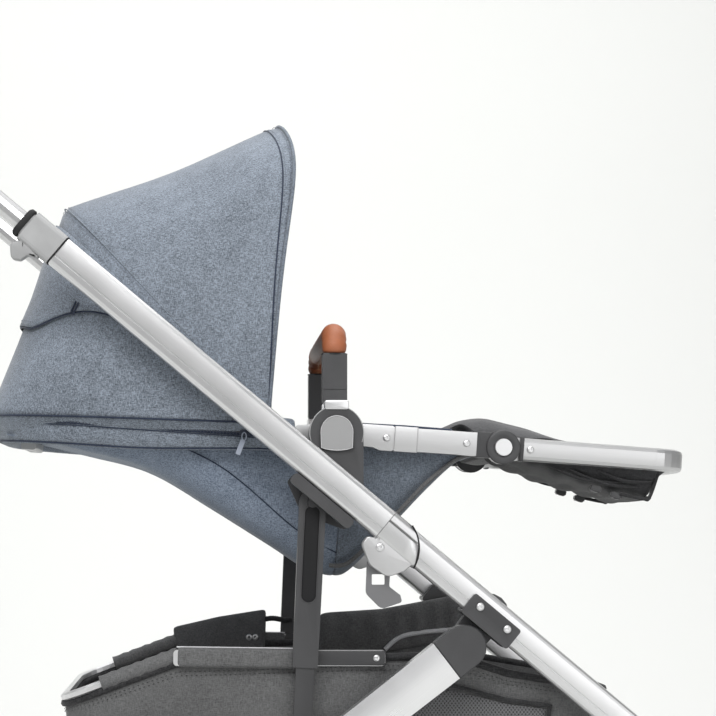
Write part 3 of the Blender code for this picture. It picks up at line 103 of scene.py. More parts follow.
class Socket:
    """A node's output, written in expressions; each operator adds the node that it needs."""

    def __init__(self, shader, link):
        self.shader = shader
        self.link = link

    def _math(self, operation, *values, clamp=False):
        settings = {"operation": operation, "use_clamp": clamp}
        return self.shader.add("ShaderNodeMath", settings, *values)

    def __add__(self, other):
        return self._math("ADD", self, other)

    __radd__ = __add__

    def __sub__(self, other):
        return self._math("SUBTRACT", self, other)

    def __rsub__(self, other):
        return self._math("SUBTRACT", other, self)

    def __mul__(self, other):
        return self._math("MULTIPLY", self, other)

    __rmul__ = __mul__

    def sine(self):
        return self._math("SINE", self)

    def clamp(self):
        return self._math("ADD", self, 0.0, clamp=True)

    def highest(self, other):
        return self._math("MAXIMUM", self, other)


class Shader:
    """A material's nodes: any node comes from add, and a surface from finish."""

    def __init__(self, name, slot):
        self.material = bpy.data.materials.new(name)
        self.material.use_nodes = True
        self.slot = slot
        self.nodes = self.material.node_tree.nodes
        self.links = self.material.node_tree.links
        self.surface = self.nodes["Principled BSDF"]

    def add(self, kind, settings, *values, output=0, **named):
        """A node with its settings and the values or links of its sockets; returns its output."""
        node = self.nodes.new(kind)
        for key, value in settings.items():
            if key == "stops":
                self._stops(node.color_ramp, value)
            else:
                setattr(node, key, value)
        sockets = list(zip(node.inputs, values))
        sockets += [(node.inputs[key.replace("_", " ")], value) for key, value in named.items()]
        for socket, value in sockets:
            self.feed(socket, value)
        return Socket(self, node.outputs[output])

    def feed(self, socket, value):
        if isinstance(value, Socket):
            self.links.new(value.link, socket)
        elif value is not None:
            socket.default_value = value

    def _stops(self, ramp, stops):
        while len(ramp.elements) < len(stops):
            ramp.elements.new(1.0)
        for element, (position, colour) in zip(ramp.elements, stops):
            element.position = position
            element.color = (*colour, 1.0)

    def place(self):
        """The surface's own place, in metres."""
        return self.add("ShaderNodeTexCoord", {}, output="Object")

    def noise(self, scale, detail=2.0, roughness=0.5, vector=None):
        vector = vector or self.place()
        return self.add(
            "ShaderNodeTexNoise", {}, Vector=vector, Scale=scale, Detail=detail, Roughness=roughness
        )

    def stretched(self, scale):
        return self.add("ShaderNodeMapping", {}, Vector=self.place(), Scale=scale)

    def mix(self, share, first, second, blend="MIX"):
        """Two colours mixed by a share."""
        first, second = [(*tone, 1.0) if isinstance(tone, tuple) else tone for tone in (first, second)]
        spare = (None,) * 5
        settings = {"data_type": "RGBA", "blend_type": blend}
        return self.add("ShaderNodeMix", settings, share, *spare, first, second, output=2)

    def crowned(self, point, angle, half, tilt):
        """A normal that leans away from a tube's middle line, as on its slightly rounded face."""
        up = (-sin(angle), 0.0, cos(angle))
        level = point[0] * up[0] + point[1] * up[2]
        rise = self.add("ShaderNodeVectorMath", {"operation": "DOT_PRODUCT"}, self.place(), up, output=1)
        rise = rise - level
        return self.bump(rise * rise * (-tilt / (2 * half)), 1.0, 1.0)

    def bump(self, height, strength, distance, normal=None):
        return self.add(
            "ShaderNodeBump", {}, Strength=strength, Distance=distance, Height=height, Normal=normal
        )

    def finish(self, **inputs):
        """Values and links of the surface shader's sockets."""
        for key, value in inputs.items():
            if isinstance(value, tuple) and len(value) == 3:
                value = (*value, 1.0)
            self.feed(self.surface.inputs[key.replace("_", " ")], value)
        return self.material


def along(point, angle, distance, rise=0.0):
    """The point at a distance from another in a direction, then square to it by the rise."""
    return (
        point[0] + distance * cos(angle) - rise * sin(angle),
        point[1] + distance * sin(angle) + rise * cos(angle),
    )


def on_seat(distance, rise=0.0):
    """A point of the side view, at a distance forwards of the seat's hub and a rise above it."""
    return along(SEAT_HUB, SEAT_TILT, distance, rise)


def placed_at(y, points):
    """Points of the side view, each (X, Z), stood at one Y."""
    return [Vector((x, y, z)) for x, z in points]


def blend_value(start, end, share):
    """The value at a share of the way from one value to another."""
    return start + (end - start) * share


def ease(value, low, high):
    """0 below low, 1 above high, and a smooth rise between them."""
    share = min(max((value - low) / (high - low), 0.0), 1.0)
    return share * share * (3 - 2 * share)


def curve_through(points, steps):
    """A smooth line through points of any dimension."""
    line = []
    for i in range(len(points) - 1):
        four = [points[max(i - 1, 0)], points[i], points[i + 1], points[min(i + 2, len(points) - 1)]]
        before, start, end, after = [Vector(point) for point in four]
        for step in range(steps):
            t = step / steps
            line.append(
                0.5
                * (
                    2 * start
                    + (end - before) * t
                    + (2 * before - 5 * start + 4 * end - after) * t**2
                    + (3 * start - before - 3 * end + after) * t**3
                )
            )
    line.append(Vector(points[-1]))
    return line


def even(line, spacing):
    """The line again, with points that lie evenly along it."""
    line = [Vector(point) for point in line]
    lengths = [(b - a).length for a, b in zip(line, line[1:])]
    total = sum(lengths)
    count = max(1, round(total / spacing))
    made = []
    index = 0
    passed = 0.0
    for i in range(count + 1):
        wanted = min(total * i / count, total - 1e-9)
        while index < len(lengths) - 1 and passed + lengths[index] < wanted:
            passed += lengths[index]
            index += 1
        share = (wanted - passed) / max(lengths[index], 1e-9)
        made.append(line[index].lerp(line[index + 1], share))
    return made


def value_at(table, where):
    """A value read from a table of (place, value) pairs."""
    for (start, first), (end, second) in zip(table, table[1:]):
        if where <= end:
            return blend_value(first, second, max(0.0, (where - start) / (end - start)))
    return table[-1][1]


def skin(rows, loop=False, ring=False):
    """A mesh over rows of points; loop joins each row's ends, and ring the last row to the first."""
    shape = bmesh.new()
    made = [[shape.verts.new(point) for point in row] for row in rows]
    pairs = list(zip(made, made[1:]))
    if ring:
        pairs.append((made[-1], made[0]))
    for first, second in pairs:
        count = len(first) if loop else len(first) - 1
        for i in range(count):
            j = (i + 1) % len(first)
            shape.faces.new((first[i], first[j], second[j], second[i]))
    return shape


def cap(shape, *rings):
    """Close the open ends of a tube of vertices with fans of faces."""
    for ring in rings:
        shape.verts.ensure_lookup_table()
        corners = [shape.verts[i] for i in ring]
        centre = sum((corner.co for corner in corners), Vector()) / len(corners)
        middle = shape.verts.new(centre)
        for i, corner in enumerate(corners):
            shape.faces.new((corner, corners[(i + 1) % len(corners)], middle))


def closed_form(rows):
    """A closed mesh over rows of points that go round, capped at its first and last rows."""
    shape = skin(rows, loop=True)
    count = len(rows[0])
    last = (len(rows) - 1) * count
    cap(shape, range(count), range(last, last + count))
    return shape


def frames(path):
    """A direction, a side and an up vector at each point of a path, without twist."""
    path = [Vector(point) for point in path]
    up = Vector((0, 0, 1))
    made = []
    for i, point in enumerate(path):
        ahead = (path[min(i + 1, len(path) - 1)] - path[max(i - 1, 0)]).normalized()
        if i == 0 and abs(ahead.z) > 0.9:
            up = Vector((0, 1, 0))
        side = ahead.cross(up).normalized()
        up = side.cross(ahead).normalized()
        made.append((point, ahead, side, up))
    return made


def tube(path, radius, sides=10, flat=1.0, closed_ends=True):
    """A round or flattened tube along a path; radius is a number or a function of 0 to 1."""
    rows = []
    placed = frames(path)
    for i, (point, _, side, up) in enumerate(placed):
        size = radius(i / (len(placed) - 1)) if callable(radius) else radius
        turns = [2 * pi * k / sides for k in range(sides)]
        rows.append([point + side * size * cos(t) + up * size * flat * sin(t) for t in turns])
    return closed_form(rows) if closed_ends else skin(rows, loop=True)


def section_along(path, normals, section):
    """Carry a section (sideways, outwards) along a path whose outward direction is given."""
    rows = []
    for i, point in enumerate(path):
        ahead = (Vector(path[min(i + 1, len(path) - 1)]) - Vector(path[max(i - 1, 0)])).normalized()
        out = (normals[i] - ahead * normals[i].dot(ahead)).normalized()
        side = out.cross(ahead)
        rows.append([Vector(point) + side * a + out * b for a, b in section])
    return closed_form(rows)


def merge(*shapes):
    """One mesh from several."""
    whole = bmesh.new()
    for shape in shapes:
        mesh = bpy.data.meshes.new("part")
        shape.to_mesh(mesh)
        shape.free()
        whole.from_mesh(mesh)
        bpy.data.meshes.remove(mesh)
    return whole


def stitches(path, normals, length=0.0032, gap=0.0014, radius=0.00045):
    """A row of thread stitches that lie on a surface along a path."""
    points = even([Vector(p) for p in path], 0.0008)
    share = (len(normals) - 1) / max(len(points) - 1, 1)
    outs = [normals[min(round(i * share), len(normals) - 1)] for i in range(len(points))]
    step = max(1, round((length + gap) / 0.0008))
    reach = max(1, round(length / 0.0008))
    whole = bmesh.new()
    for i in range(0, len(points) - reach, step):
        a, b = points[i], points[i + reach]
        out = outs[i].normalized()
        side = (b - a).normalized().cross(out) * radius
        middle = (a + b) / 2
        low = [whole.verts.new(p) for p in (a - out * radius, b - out * radius)]
        ring = [middle + side, middle + out * radius * 1.2, middle - side]
        high = [whole.verts.new(p) for p in ring]
        for first, second in zip(high, high[1:]):
            whole.faces.new((low[0], first, second))
            whole.faces.new((low[1], second, first))
    return whole


# The corners of a box, and its faces as places in that list.
BOX_CORNERS = [(a, b, c) for c in (-1, 1) for a, b in ((-1, -1), (1, -1), (1, 1), (-1, 1))]
BOX_BACK, BOX_FRONT = (0, 3, 2, 1), (4, 5, 6, 7)
BOX_SIDES = ((0, 1, 5, 4), (1, 2, 6, 5), (2, 3, 7, 6), (3, 0, 4, 7))


def block(centre, size, bevel, axes=None):
    """A small block with worn edges."""
    shape = bmesh.new()
    bmesh.ops.create_cube(shape, size=1.0)
    bmesh.ops.scale(shape, vec=size, verts=shape.verts)
    bmesh.ops.bevel(shape, geom=shape.edges[:], offset=bevel, segments=2, affect="EDGES")
    if axes:
        shape.transform(axes.to_4x4())
    shape.transform(Matrix.Translation(centre))
    return shape


def turned(profile, centre, axis, sides=32):
    """A turned form: a profile of (radius, distance along the axis) about a line."""
    axis = Vector(axis).normalized()
    side = axis.orthogonal().normalized()
    up = axis.cross(side)
    rows = []
    for radius, distance in profile:
        turns = [2 * pi * k / sides for k in range(sides)]
        here = Vector(centre) + axis * distance
        rows.append([here + (side * cos(t) + up * sin(t)) * max(radius, 1e-5) for t in turns])
    return skin(rows, loop=True)


def plate(outline, y_from, y_to, bevel=0.0006, back_bevel=0.0):
    """A flat plate of a side-view outline, rounded over along its edges."""
    side = 1 if y_to > y_from else -1
    count = len(outline)
    area = sum(a[0] * b[1] - b[0] * a[1] for a, b in zip(outline, outline[1:] + outline[:1]))
    turn = 1 if area > 0 else -1
    inward = []
    for i in range(count):
        before, after = Vector(outline[i - 1]), Vector(outline[(i + 1) % count])
        ahead = (after - before).normalized()
        inward.append(Vector((-ahead.y, ahead.x)) * turn)
    steps = [(y_from, side, back_bevel, share) for share in (1.0, 0.7, 0.3, 0.0)] if back_bevel else []
    steps = steps or [(y_from, side, 0.0, 0.0)]
    steps += [(y_to, -side, bevel, share) for share in (0.0, 0.3, 0.7, 1.0)]
    rows = []
    for y, way, radius, share in steps:
        drop = radius * (1 - sin(share * pi / 2))
        inset = radius * (1 - cos(share * pi / 2))
        rows.append(
            [
                Vector((p[0] + n.x * inset, y + way * drop, p[1] + n.y * inset))
                for p, n in zip(outline, inward)
            ]
        )
    return closed_form(rows)


def rounded(corners, steps=5):
    """An outline with each corner (x, z, radius) turned into an arc."""
    outline = []
    count = len(corners)
    for i, (x, z, radius) in enumerate(corners):
        here = Vector((x, z))
        to_last = (Vector(corners[i - 1][:2]) - here).normalized()
        to_next = (Vector(corners[(i + 1) % count][:2]) - here).normalized()
        half = to_last.angle(to_next) / 2
        reach = radius / max(sin(half) / max(cos(half), 1e-6), 1e-6)
        for k in range(steps + 1):
            share = k / steps
            first, last = here + to_last * reach, here + to_next * reach
            point = first * (1 - share) ** 2 + here * 2 * share * (1 - share) + last * share ** 2
            outline.append((point.x, point.y))
    return outline


def strip(start, end, low, high, radius=0.0):
    """The outline of a straight bar between two points, from one rise to another."""
    angle = atan2(end[1] - start[1], end[0] - start[0])
    corners = [along(start, angle, 0, low), along(end, angle, 0, low)]
    corners += [along(end, angle, 0, high), along(start, angle, 0, high)]
    return rounded([(x, z, radius) for x, z in corners]) if radius else corners


def circle(centre, radius, steps):
    """The outline of a round disc in the side view."""
    return [along(centre, 2 * pi * i / steps, radius) for i in range(steps)]


def piece(name, shape, body, finish, levels=0, thickness=0.0, offset=-1.0, sharp=50):
    """A named piece of the visual model, which rides on a body of the frame."""
    bmesh.ops.remove_doubles(shape, verts=shape.verts, dist=2e-6)
    bmesh.ops.recalc_face_normals(shape, faces=shape.faces)
    mesh = bpy.data.meshes.new(name)
    shape.to_mesh(mesh)
    shape.free()
    mesh.shade_smooth()
    mesh.set_sharp_from_angle(angle=radians(sharp))
    made = bpy.data.objects.new(name, mesh)
    bpy.context.scene.collection.objects.link(made)
    if thickness:
        solid = made.modifiers.new("thickness", "SOLIDIFY")
        solid.thickness = thickness
        solid.offset = offset
    if levels:
        surface = made.modifiers.new("smooth", "SUBSURF")
        surface.levels = surface.render_levels = levels
    mesh.materials.append(finish.material)
    if body:
        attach(made, body)
    return made


# Finishes.


def toned(colour, share, lift=0.0):
    """A colour made darker or lighter by a share, and paler by a lift."""
    return tuple(min(1.0, c * share + lift) for c in colour)


def cloth(name, slot, dark, light, thread=0.0011, speck=1.0, roughness=0.92, sheen=0.25):
    """A woven cloth of two yarns: crossed threads, uneven dye, and a soft nap."""
    shader = Shader(name, slot)
    threads = 1.0 / thread
    across = shader.noise(1.0, 2.0, 0.6, shader.stretched((threads * 0.22, threads, threads * 1.25)))
    down = shader.noise(1.0, 2.0, 0.6, shader.stretched((threads * 1.25, threads, threads * 0.22)))
    fine = shader.noise(threads * 1.8, 1.0, 0.5)
    patch = shader.noise(70.0, 2.0, 0.5)
    wide = shader.noise(7.0, 3.0, 0.55)
    yarn = across.highest(down) * 0.45 + (across + down) * 0.275
    share = ((yarn - 0.528) * 4.6 * speck + (fine - 0.5) * 1.0 * speck + 0.5).clamp()
    worn = share * 0.80 + (wide - 0.5) * 0.55 + (patch - 0.5) * 0.35 * speck + 0.10
    colour = shader.mix(worn.clamp(), dark, light)
    normal = shader.bump(yarn + fine * 0.4, 0.5, 0.0006)
    shader.finish(
        Base_Color=colour,
        Roughness=roughness - share * 0.06,
        Normal=normal,
        Sheen_Weight=sheen,
        Sheen_Roughness=0.45,
        Specular_IOR_Level=0.25,
    )
    return shader


def anodised(name, slot, colour, roughness=0.30, metallic=0.92, line=None, half=0.018, tilt=0.0):
    """Satin aluminium: fine drawing lines along the tube, and a few faint smudges."""
    shader = Shader(name, slot)
    point, angle = line or (SEAT_HUB, 0.0)
    turned_place = shader.add("ShaderNodeMapping", {}, Vector=shader.place(), Rotation=(0.0, angle, 0.0))
    lines = shader.noise(
        1.0, 2.0, 0.5, shader.add("ShaderNodeMapping", {}, Vector=turned_place, Scale=(6, 900, 900))
    )
    smudge = shader.noise(14.0, 3.0, 0.6)
    tone = (lines * 0.5 + smudge * 0.5).clamp()
    crown = shader.crowned(point, angle, half, tilt) if tilt else None
    shader.finish(
        Base_Color=shader.mix(tone, toned(colour, 0.93), toned(colour, 1.05)),
        Metallic=metallic,
        Roughness=roughness + (smudge - 0.5) * 0.10 + (lines - 0.5) * 0.06,
        Normal=shader.bump(lines, 0.06, 0.0004, crown),
    )
    return shader


def moulded(name, slot, colour, roughness=0.48, grain=0.0009, wear=0.10, gloss=0.5):
    """Moulded plastic: a fine spark grain, rubbed a little smoother and paler on its edges."""
    shader = Shader(name, slot)
    pits = shader.noise(1.0 / grain, 2.0, 0.6)
    patches = shader.noise(22.0, 3.0, 0.6)
    edges = shader.add("ShaderNodeNewGeometry", {}, output="Pointiness")
    rubbed = ((edges - 0.512) * 14.0).clamp() * (patches * 1.4).clamp()
    body = shader.mix(patches, toned(colour, 0.88), toned(colour, 1.12))
    shader.finish(
        Base_Color=shader.mix(rubbed * wear * 4, body, toned(colour, 1.5, 0.03)),
        Roughness=roughness + (patches - 0.5) * 0.16 - rubbed * 0.1,
        Normal=shader.bump(pits, 0.28, 0.0004),
        Specular_IOR_Level=gloss,
    )
    return shader


def hide(name, slot, dark, light):
    """Smooth grained leather in two tones: pebbled cells with creases between them."""
    shader = Shader(name, slot)
    cells = shader.add(
        "ShaderNodeTexVoronoi", {"feature": "DISTANCE_TO_EDGE"}, Vector=shader.place(), Scale=620.0
    )
    small = shader.noise(1500.0, 2.0, 0.5)
    stain = shader.noise(26.0, 4.0, 0.62)
    crease = (cells * 7.0).clamp()
    share = (stain * 0.9 + crease * 0.18 - 0.05).clamp()
    shader.finish(
        Base_Color=shader.mix(share, dark, light),
        Roughness=0.52 - crease * 0.08 + (stain - 0.5) * 0.15,
        Normal=shader.bump(crease * 0.7 + small * 0.3, 0.35, 0.0004),
        Specular_IOR_Level=0.45,
    )
    return shader


def rubber(name, slot):
    """Tyre rubber with dust in its grain."""
    shader = Shader(name, slot)
    fine = shader.noise(1200.0, 2.0, 0.6)
    dust = shader.noise(30.0, 4.0, 0.65)
    shader.finish(
        Base_Color=shader.mix((dust * 1.2 - 0.2).clamp(), (0.016, 0.016, 0.017), (0.045, 0.044, 0.042)),
        Roughness=0.78 + (dust - 0.5) * 0.2,
        Normal=shader.bump(fine, 0.25, 0.0005),
    )
    return shader


def netting(name, slot, colour, cell=0.0042):
    """Knitted mesh: round holes in a fine net of yarn."""
    shader = Shader(name, slot)
    place = shader.place()
    x, z = [shader.add("ShaderNodeSeparateXYZ", {}, place, output=axis) for axis in (0, 2)]
    turn = 2 * pi / cell
    net = (x * turn).sine() * (z * turn * 0.8).sine()
    hole = (net - 0.12) * 6.0
    yarn = 1.0 - hole.clamp()
    shader.finish(
        Base_Color=shader.mix(shader.noise(800.0), toned(colour, 0.7), colour),
        Roughness=0.9,
        Alpha=(yarn * 0.75 + 0.25).clamp(),
        Normal=shader.bump(yarn, 0.5, 0.0005),
    )
    return shader


def plain_thread(name, slot, colour):
    """Twisted sewing thread, too thin to show more than its sheen."""
    shader = Shader(name, slot)
    twist = shader.noise(2600.0, 1.0, 0.5)
    shader.finish(
        Base_Color=shader.mix(twist, toned(colour, 0.75), colour),
        Roughness=0.7,
        Sheen_Weight=0.3,
    )
    return shader


def make_finishes():
    """Every finish of the pushchair, by name."""
    look = bpy.context.scene.pushchair_colours
    blue, tan, grey, silver = [tuple(tone) for tone in (look.cloth, look.leather, look.trim, look.metal)]
    main = (FOLD_LINE, FRAME_ANGLE)
    seat = (SEAT_HUB, SEAT_TILT)
    leg = (REAR_LEG_FOOT, REAR_LEG_ANGLE)
    return {
        "cloth": cloth("melange_cloth", "blue_fabric", toned(blue, 0.46), toned(blue, 1.80, 0.03), 0.0009),
        "cloth_deep": cloth(
            "melange_cloth_deep", "blue_fabric", toned(blue, 0.48), toned(blue, 1.50), 0.0009
        ),
        "shell": cloth("melange_shell", "blue_fabric", (0.080, 0.102, 0.142), (0.285, 0.335, 0.410), 0.0009),
        "pad": cloth("pad_cloth", "pad_fabric", toned(blue, 0.40), toned(blue, 1.05), 0.0014, 0.7),
        "navy": cloth("navy_tape", "pad_fabric", (0.012, 0.018, 0.034), (0.040, 0.052, 0.085), 0.0009, 0.6),
        "charcoal": cloth(
            "charcoal_cloth", "charcoal_fabric",
            (0.062, 0.062, 0.063), (0.185, 0.186, 0.187), 0.0010, 0.6, 0.88, 0.15,
        ),
        "lining": cloth(
            "charcoal_lining", "charcoal_fabric",
            (0.042, 0.042, 0.044), (0.150, 0.151, 0.155), 0.0008, 0.5, 0.85, 0.15,
        ),
        "webbing": cloth(
            "webbing", "charcoal_fabric",
            (0.010, 0.010, 0.011), (0.050, 0.050, 0.052), 0.0016, 0.8, 0.80, 0.10,
        ),
        "sling": cloth(
            "sling_cloth", "charcoal_fabric",
            (0.012, 0.012, 0.013), (0.060, 0.060, 0.063), 0.0009, 0.6, 0.80, 0.10,
        ),
        "mesh": netting("mesh_cloth", "charcoal_fabric", (0.16, 0.16, 0.165)),
        "silver_tape": cloth(
            "silver_tape", "silver", (0.42, 0.42, 0.43), (0.72, 0.72, 0.74), 0.0008, 0.5, 0.45, 0.1
        ),
        "leather": hide("tan_leather", "leather", toned(tan, 0.62), toned(tan, 1.30)),
        "tube": anodised("satin_tube", "silver", toned(silver, 0.94), line=main, half=TUBE_HALF, tilt=0.13),
        "leg": anodised("satin_leg", "silver", toned(silver, 1.10), line=leg, half=0.0245, tilt=0.17),
        "rail": anodised(
            "satin_rail", "silver", toned(silver, 0.76), 0.36, line=seat, half=0.0140, tilt=0.18
        ),
        "plain_metal": anodised("plain_metal", "silver", silver, 0.34),
        "button": anodised("satin_button", "silver", toned(silver, 0.94), 0.34, 0.85),
        "tag": anodised("zip_tag", "silver", (0.42, 0.46, 0.55), 0.40, 0.60),
        "matt_button": anodised("matt_button", "silver", toned(silver, 0.46), 0.46, 0.70),
        "cast": anodised("cast_metal", "cast_silver", toned(silver, 0.74), 0.42, 0.80),
        "cast_face": anodised(
            "cast_face", "cast_silver", toned(silver, 0.84), 0.34, 0.88, main, TUBE_HALF, 0.13
        ),
        "zinc": anodised("zinc_latch", "grey_plastic", (0.20, 0.20, 0.205), 0.45, 0.70),
        # Painted shade: a dark metal for the lines in the tubes' grooves and the fold seams, standing in for
        # the shadow in these narrow gaps.
        "groove": anodised("painted_shade_lines", "silver", toned(silver, 0.30), 0.50, 0.60),
        "dark": moulded("dark_plastic", "dark_plastic", (0.036, 0.036, 0.038)),
        # Dark inset plastic; the same finish also paints the shade round each fold casting's arc.
        "inset": moulded("inset_plastic_and_painted_shade", "dark_plastic", (0.010, 0.010, 0.011), 0.60, gloss=0.25),
        # Grey plastic; the same finish also paints the highlight strip along each seat mount's edge.
        "grey": moulded("grey_plastic", "grey_plastic", grey, 0.44),
        "rim": moulded("rim_plastic", "grey_plastic", (0.20, 0.20, 0.21), 0.40),
        "rubber": rubber("tyre_rubber", "tyre"),
        "thread_pale": plain_thread("pale_thread", "blue_fabric", (0.16, 0.18, 0.215)),
        "thread": plain_thread("blue_thread", "blue_fabric", (0.055, 0.075, 0.120)),
        "thread_dark": plain_thread("dark_thread", "charcoal_fabric", (0.030, 0.030, 0.032)),
        "thread_tan": plain_thread("tan_thread", "leather", (0.52, 0.27, 0.13)),
        "zip": moulded("zip_teeth", "pad_fabric", (0.020, 0.026, 0.045), 0.35, 0.0006),
    }


# The canopy.

FRONT_BOW = radians(86.2)
REAR_BOW = radians(132.6)
HEAD_EDGE = radians(178.2)
FRONT_REACH = 0.3750
REAR_REACH = 0.3660
HEAD_REACH = 0.3340
CANOPY_HALF_WIDTH = 0.1860
CANOPY_FOOT = 0.0120
ARCH_POWER = 0.62
HEAD_POWER = 0.40
CANOPY_MIDDLE = (CANOPY_PIVOT[0] - 0.10, 0, CANOPY_PIVOT[1] + 0.05)
CLOTH_EDGE = FRONT_BOW - 0.014


def canopy_reach(angle):
    """The cloth's reach from its pivot: pulled straight between the bows, a little slack."""
    stops = [(FRONT_BOW, FRONT_REACH), (REAR_BOW, REAR_REACH), (HEAD_EDGE, HEAD_REACH)]
    if angle <= FRONT_BOW:
        return FRONT_REACH
    for (start, near), (end, far) in zip(stops, stops[1:]):
        if angle <= end + 1e-9:
            share = (angle - start) / (end - start)
            chord = near * far * sin(end - start)
            chord /= near * sin(angle - start) + far * sin(end - angle)
            return chord - 0.0030 * sin(pi * share) ** 2
    return HEAD_REACH


def canopy_at(angle, turn, lift=0.0):
    """A point of the cloth: an angle about the pivot, and a turn of 0 to pi from side to side."""
    share = max(0.0, (angle - REAR_BOW) / (HEAD_EDGE - REAR_BOW))
    front = ease(REAR_BOW - angle, 0.0, REAR_BOW - FRONT_BOW)
    power = ARCH_POWER + (HEAD_POWER - ARCH_POWER) * share
    half = CANOPY_HALF_WIDTH + lift
    reach = canopy_reach(angle) + lift
    across = half * abs(cos(turn)) ** power * (1 if cos(turn) >= 0 else -1)
    out = CANOPY_FOOT + (reach - CANOPY_FOOT) * abs(sin(turn)) ** power
    slack = sin(pi * min(max((angle - FRONT_BOW) / (REAR_BOW - FRONT_BOW), 0.0), 1.0))
    slack += sin(pi * share)
    angle += front * (0.046 * abs(sin(turn)) ** 5 - 0.030 * sin(2 * min(turn, pi - turn)) ** 2)
    x, z = along(CANOPY_PIVOT, angle, out)
    folds = noise.noise(Vector((x * 9.0, across * 7.0, z * 9.0))) * 0.0026 * slack
    pull = noise.noise(Vector((angle * 16.0, 3.1, out * 2.2))) * 0.0022
    pull *= ease(out, 0.03, 0.14) * ease(0.30 - out, 0.0, 0.16) * abs(cos(turn)) ** 0.5
    across += (folds + pull) * (1 if cos(turn) >= 0 else -1)
    return Vector((x, across, z))


def even_turns(angle, count):
    """Turns that lie evenly along an arch, so that its corners are as fine as its flats."""
    dense = [pi * i / 400 for i in range(401)]
    line = [canopy_at(angle, turn) for turn in dense]
    runs = [0.0]
    for a, b in zip(line, line[1:]):
        runs.append(runs[-1] + (b - a).length)
    turns = []
    index = 0
    for i in range(count + 1):
        wanted = runs[-1] * i / count
        while index < 399 and runs[index + 1] < wanted:
            index += 1
        share = (wanted - runs[index]) / max(runs[index + 1] - runs[index], 1e-9)
        turns.append(dense[index] + (dense[index + 1] - dense[index]) * min(share, 1.0))
    return turns


def canopy_line(angle, lift, count=90):
    """A line over the cloth from side to side, at an angle about the pivot."""
    return [canopy_at(angle, turn, lift) for turn in even_turns(angle, count)]


def canopy_stitches(line):
    """Thread stitches on the cloth along a line."""
    return stitches(line, [(point - Vector(CANOPY_MIDDLE)).normalized() for point in line])


def build_canopy(finishes, thickness):
    """The canopy's cloth over its bows, with its hems, seams, piping and the skirt at its head."""
    angles = [CLOTH_EDGE + (HEAD_EDGE - FRONT_BOW + 0.014) * i / 46 for i in range(47)]
    rows = [canopy_line(angle, 0.0006, 56) for angle in angles]
    start_x, start_z = along(CANOPY_PIVOT, REAR_BOW, 0.30)
    end_x, end_z = along((start_x, start_z), REAR_BOW - pi / 2, 0.30 * sin(REAR_BOW - FRONT_BOW))

    def follow(made):
        """Let a piece follow the folding canopy more and more towards its front edge."""
        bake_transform(made)

    cover = piece("canopy_cover", skin(rows), None, finishes["cloth"], thickness=thickness)
    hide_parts("canopy_fabric")
    follow(cover)
    line = canopy_line(CLOTH_EDGE, 0.0016)
    follow(piece("canopy_front_hem", tube(line, 0.0020, 8), None, finishes["cloth_deep"]))
    line = canopy_line(CLOTH_EDGE + 0.0165 / FRONT_REACH, 0.0012)
    follow(piece("canopy_hem_ridge", tube(line, 0.0009, 6, 0.8), None, finishes["navy"]))
    lines = [canopy_line(CLOTH_EDGE + back / FRONT_REACH, 0.0007, 160) for back in (0.0050, 0.0125)]
    thread = merge(*[canopy_stitches(line) for line in lines])
    follow(piece("canopy_hem_stitching", thread, None, finishes["thread"]))

    lines = [canopy_line(REAR_BOW + shift, 0.0008, 160) for shift in (-0.012, 0.012)]
    thread = merge(*[canopy_stitches(line) for line in lines])
    piece("canopy_bow_stitching", thread, "seat", finishes["thread_pale"])
    ridge = tube(canopy_line(REAR_BOW, 0.0003), 0.0012, 6, 0.6)
    piece("canopy_bow_ridge", ridge, "seat", finishes["cloth"])
    piping = tube(canopy_line(HEAD_EDGE, 0.0012), 0.0012, 6)
    piece("canopy_head_piping", piping, "seat", finishes["navy"])
    rows = [[], [], [], [], []]
    for turn in even_turns(HEAD_EDGE, 60):
        edge = canopy_at(HEAD_EDGE, turn, -0.0006)
        inward = Vector((-0.18 - edge.x, -edge.y, 0)).normalized()
        for i, row in enumerate(rows):
            row.append(edge + inward * 0.0050 * i + Vector((0, 0, -0.0055 * i)))
    skirt = piece("canopy_skirt", skin(rows), "seat", finishes["cloth"], 1, 0.0014)


def flap_end(across):
    """The angle of the vent flap's free edge: lowest at the middle, higher down the sides."""
    return radians(157.8) - radians(16.5) * ease(abs(across), 0.45, 1.10)


def build_window_flap(finishes):
    """The flap over the vent behind the rear bow, with its rolled edge and its two pull tabs."""
    first = radians(136.0)
    turns = even_turns(radians(150.0), 80)[8:73]
    rows = []
    for i in range(19):
        row = []
        for turn in turns:
            last = flap_end(cos(turn))
            lift = 0.0028 + 0.0016 * ease(i, 12, 18)
            row.append(canopy_at(blend_value(first, last, i / 18), turn, lift))
        rows.append(row)
    flap = piece("canopy_vent_flap", skin(rows), "seat", finishes["cloth"], thickness=0.0018, offset=1.0)
    edge = [canopy_at(flap_end(cos(turn)) + 0.004, turn, 0.0040) for turn in turns]
    piece("canopy_flap_edge", tube(edge, 0.0012, 6), "seat", finishes["navy"])
    line = [canopy_at(flap_end(cos(turn)) - 0.022, turn, 0.0064) for turn in turns]
    piece("canopy_flap_stitching", canopy_stitches(line), "seat", finishes["thread"])
    tabs = []
    for y_side in SIDES.values():
        turn = pi / 2 + y_side * 0.86
        edge = flap_end(cos(turn))
        for share in (0, 1):
            line = [canopy_at(edge - run, turn + share * 0.022, 0.0068) for run in (-0.006, 0.020, 0.046)]
            tabs.append(tube(curve_through(line, 4), 0.0012, 6))
        tip = canopy_at(edge + 0.012, turn + 0.020, 0.0052)
        tabs.append(tube([canopy_at(edge - 0.004, turn, 0.0060), tip], 0.0014, 6))
    piece("canopy_flap_tabs", merge(*tabs), "seat", finishes["navy"])


# The seat.

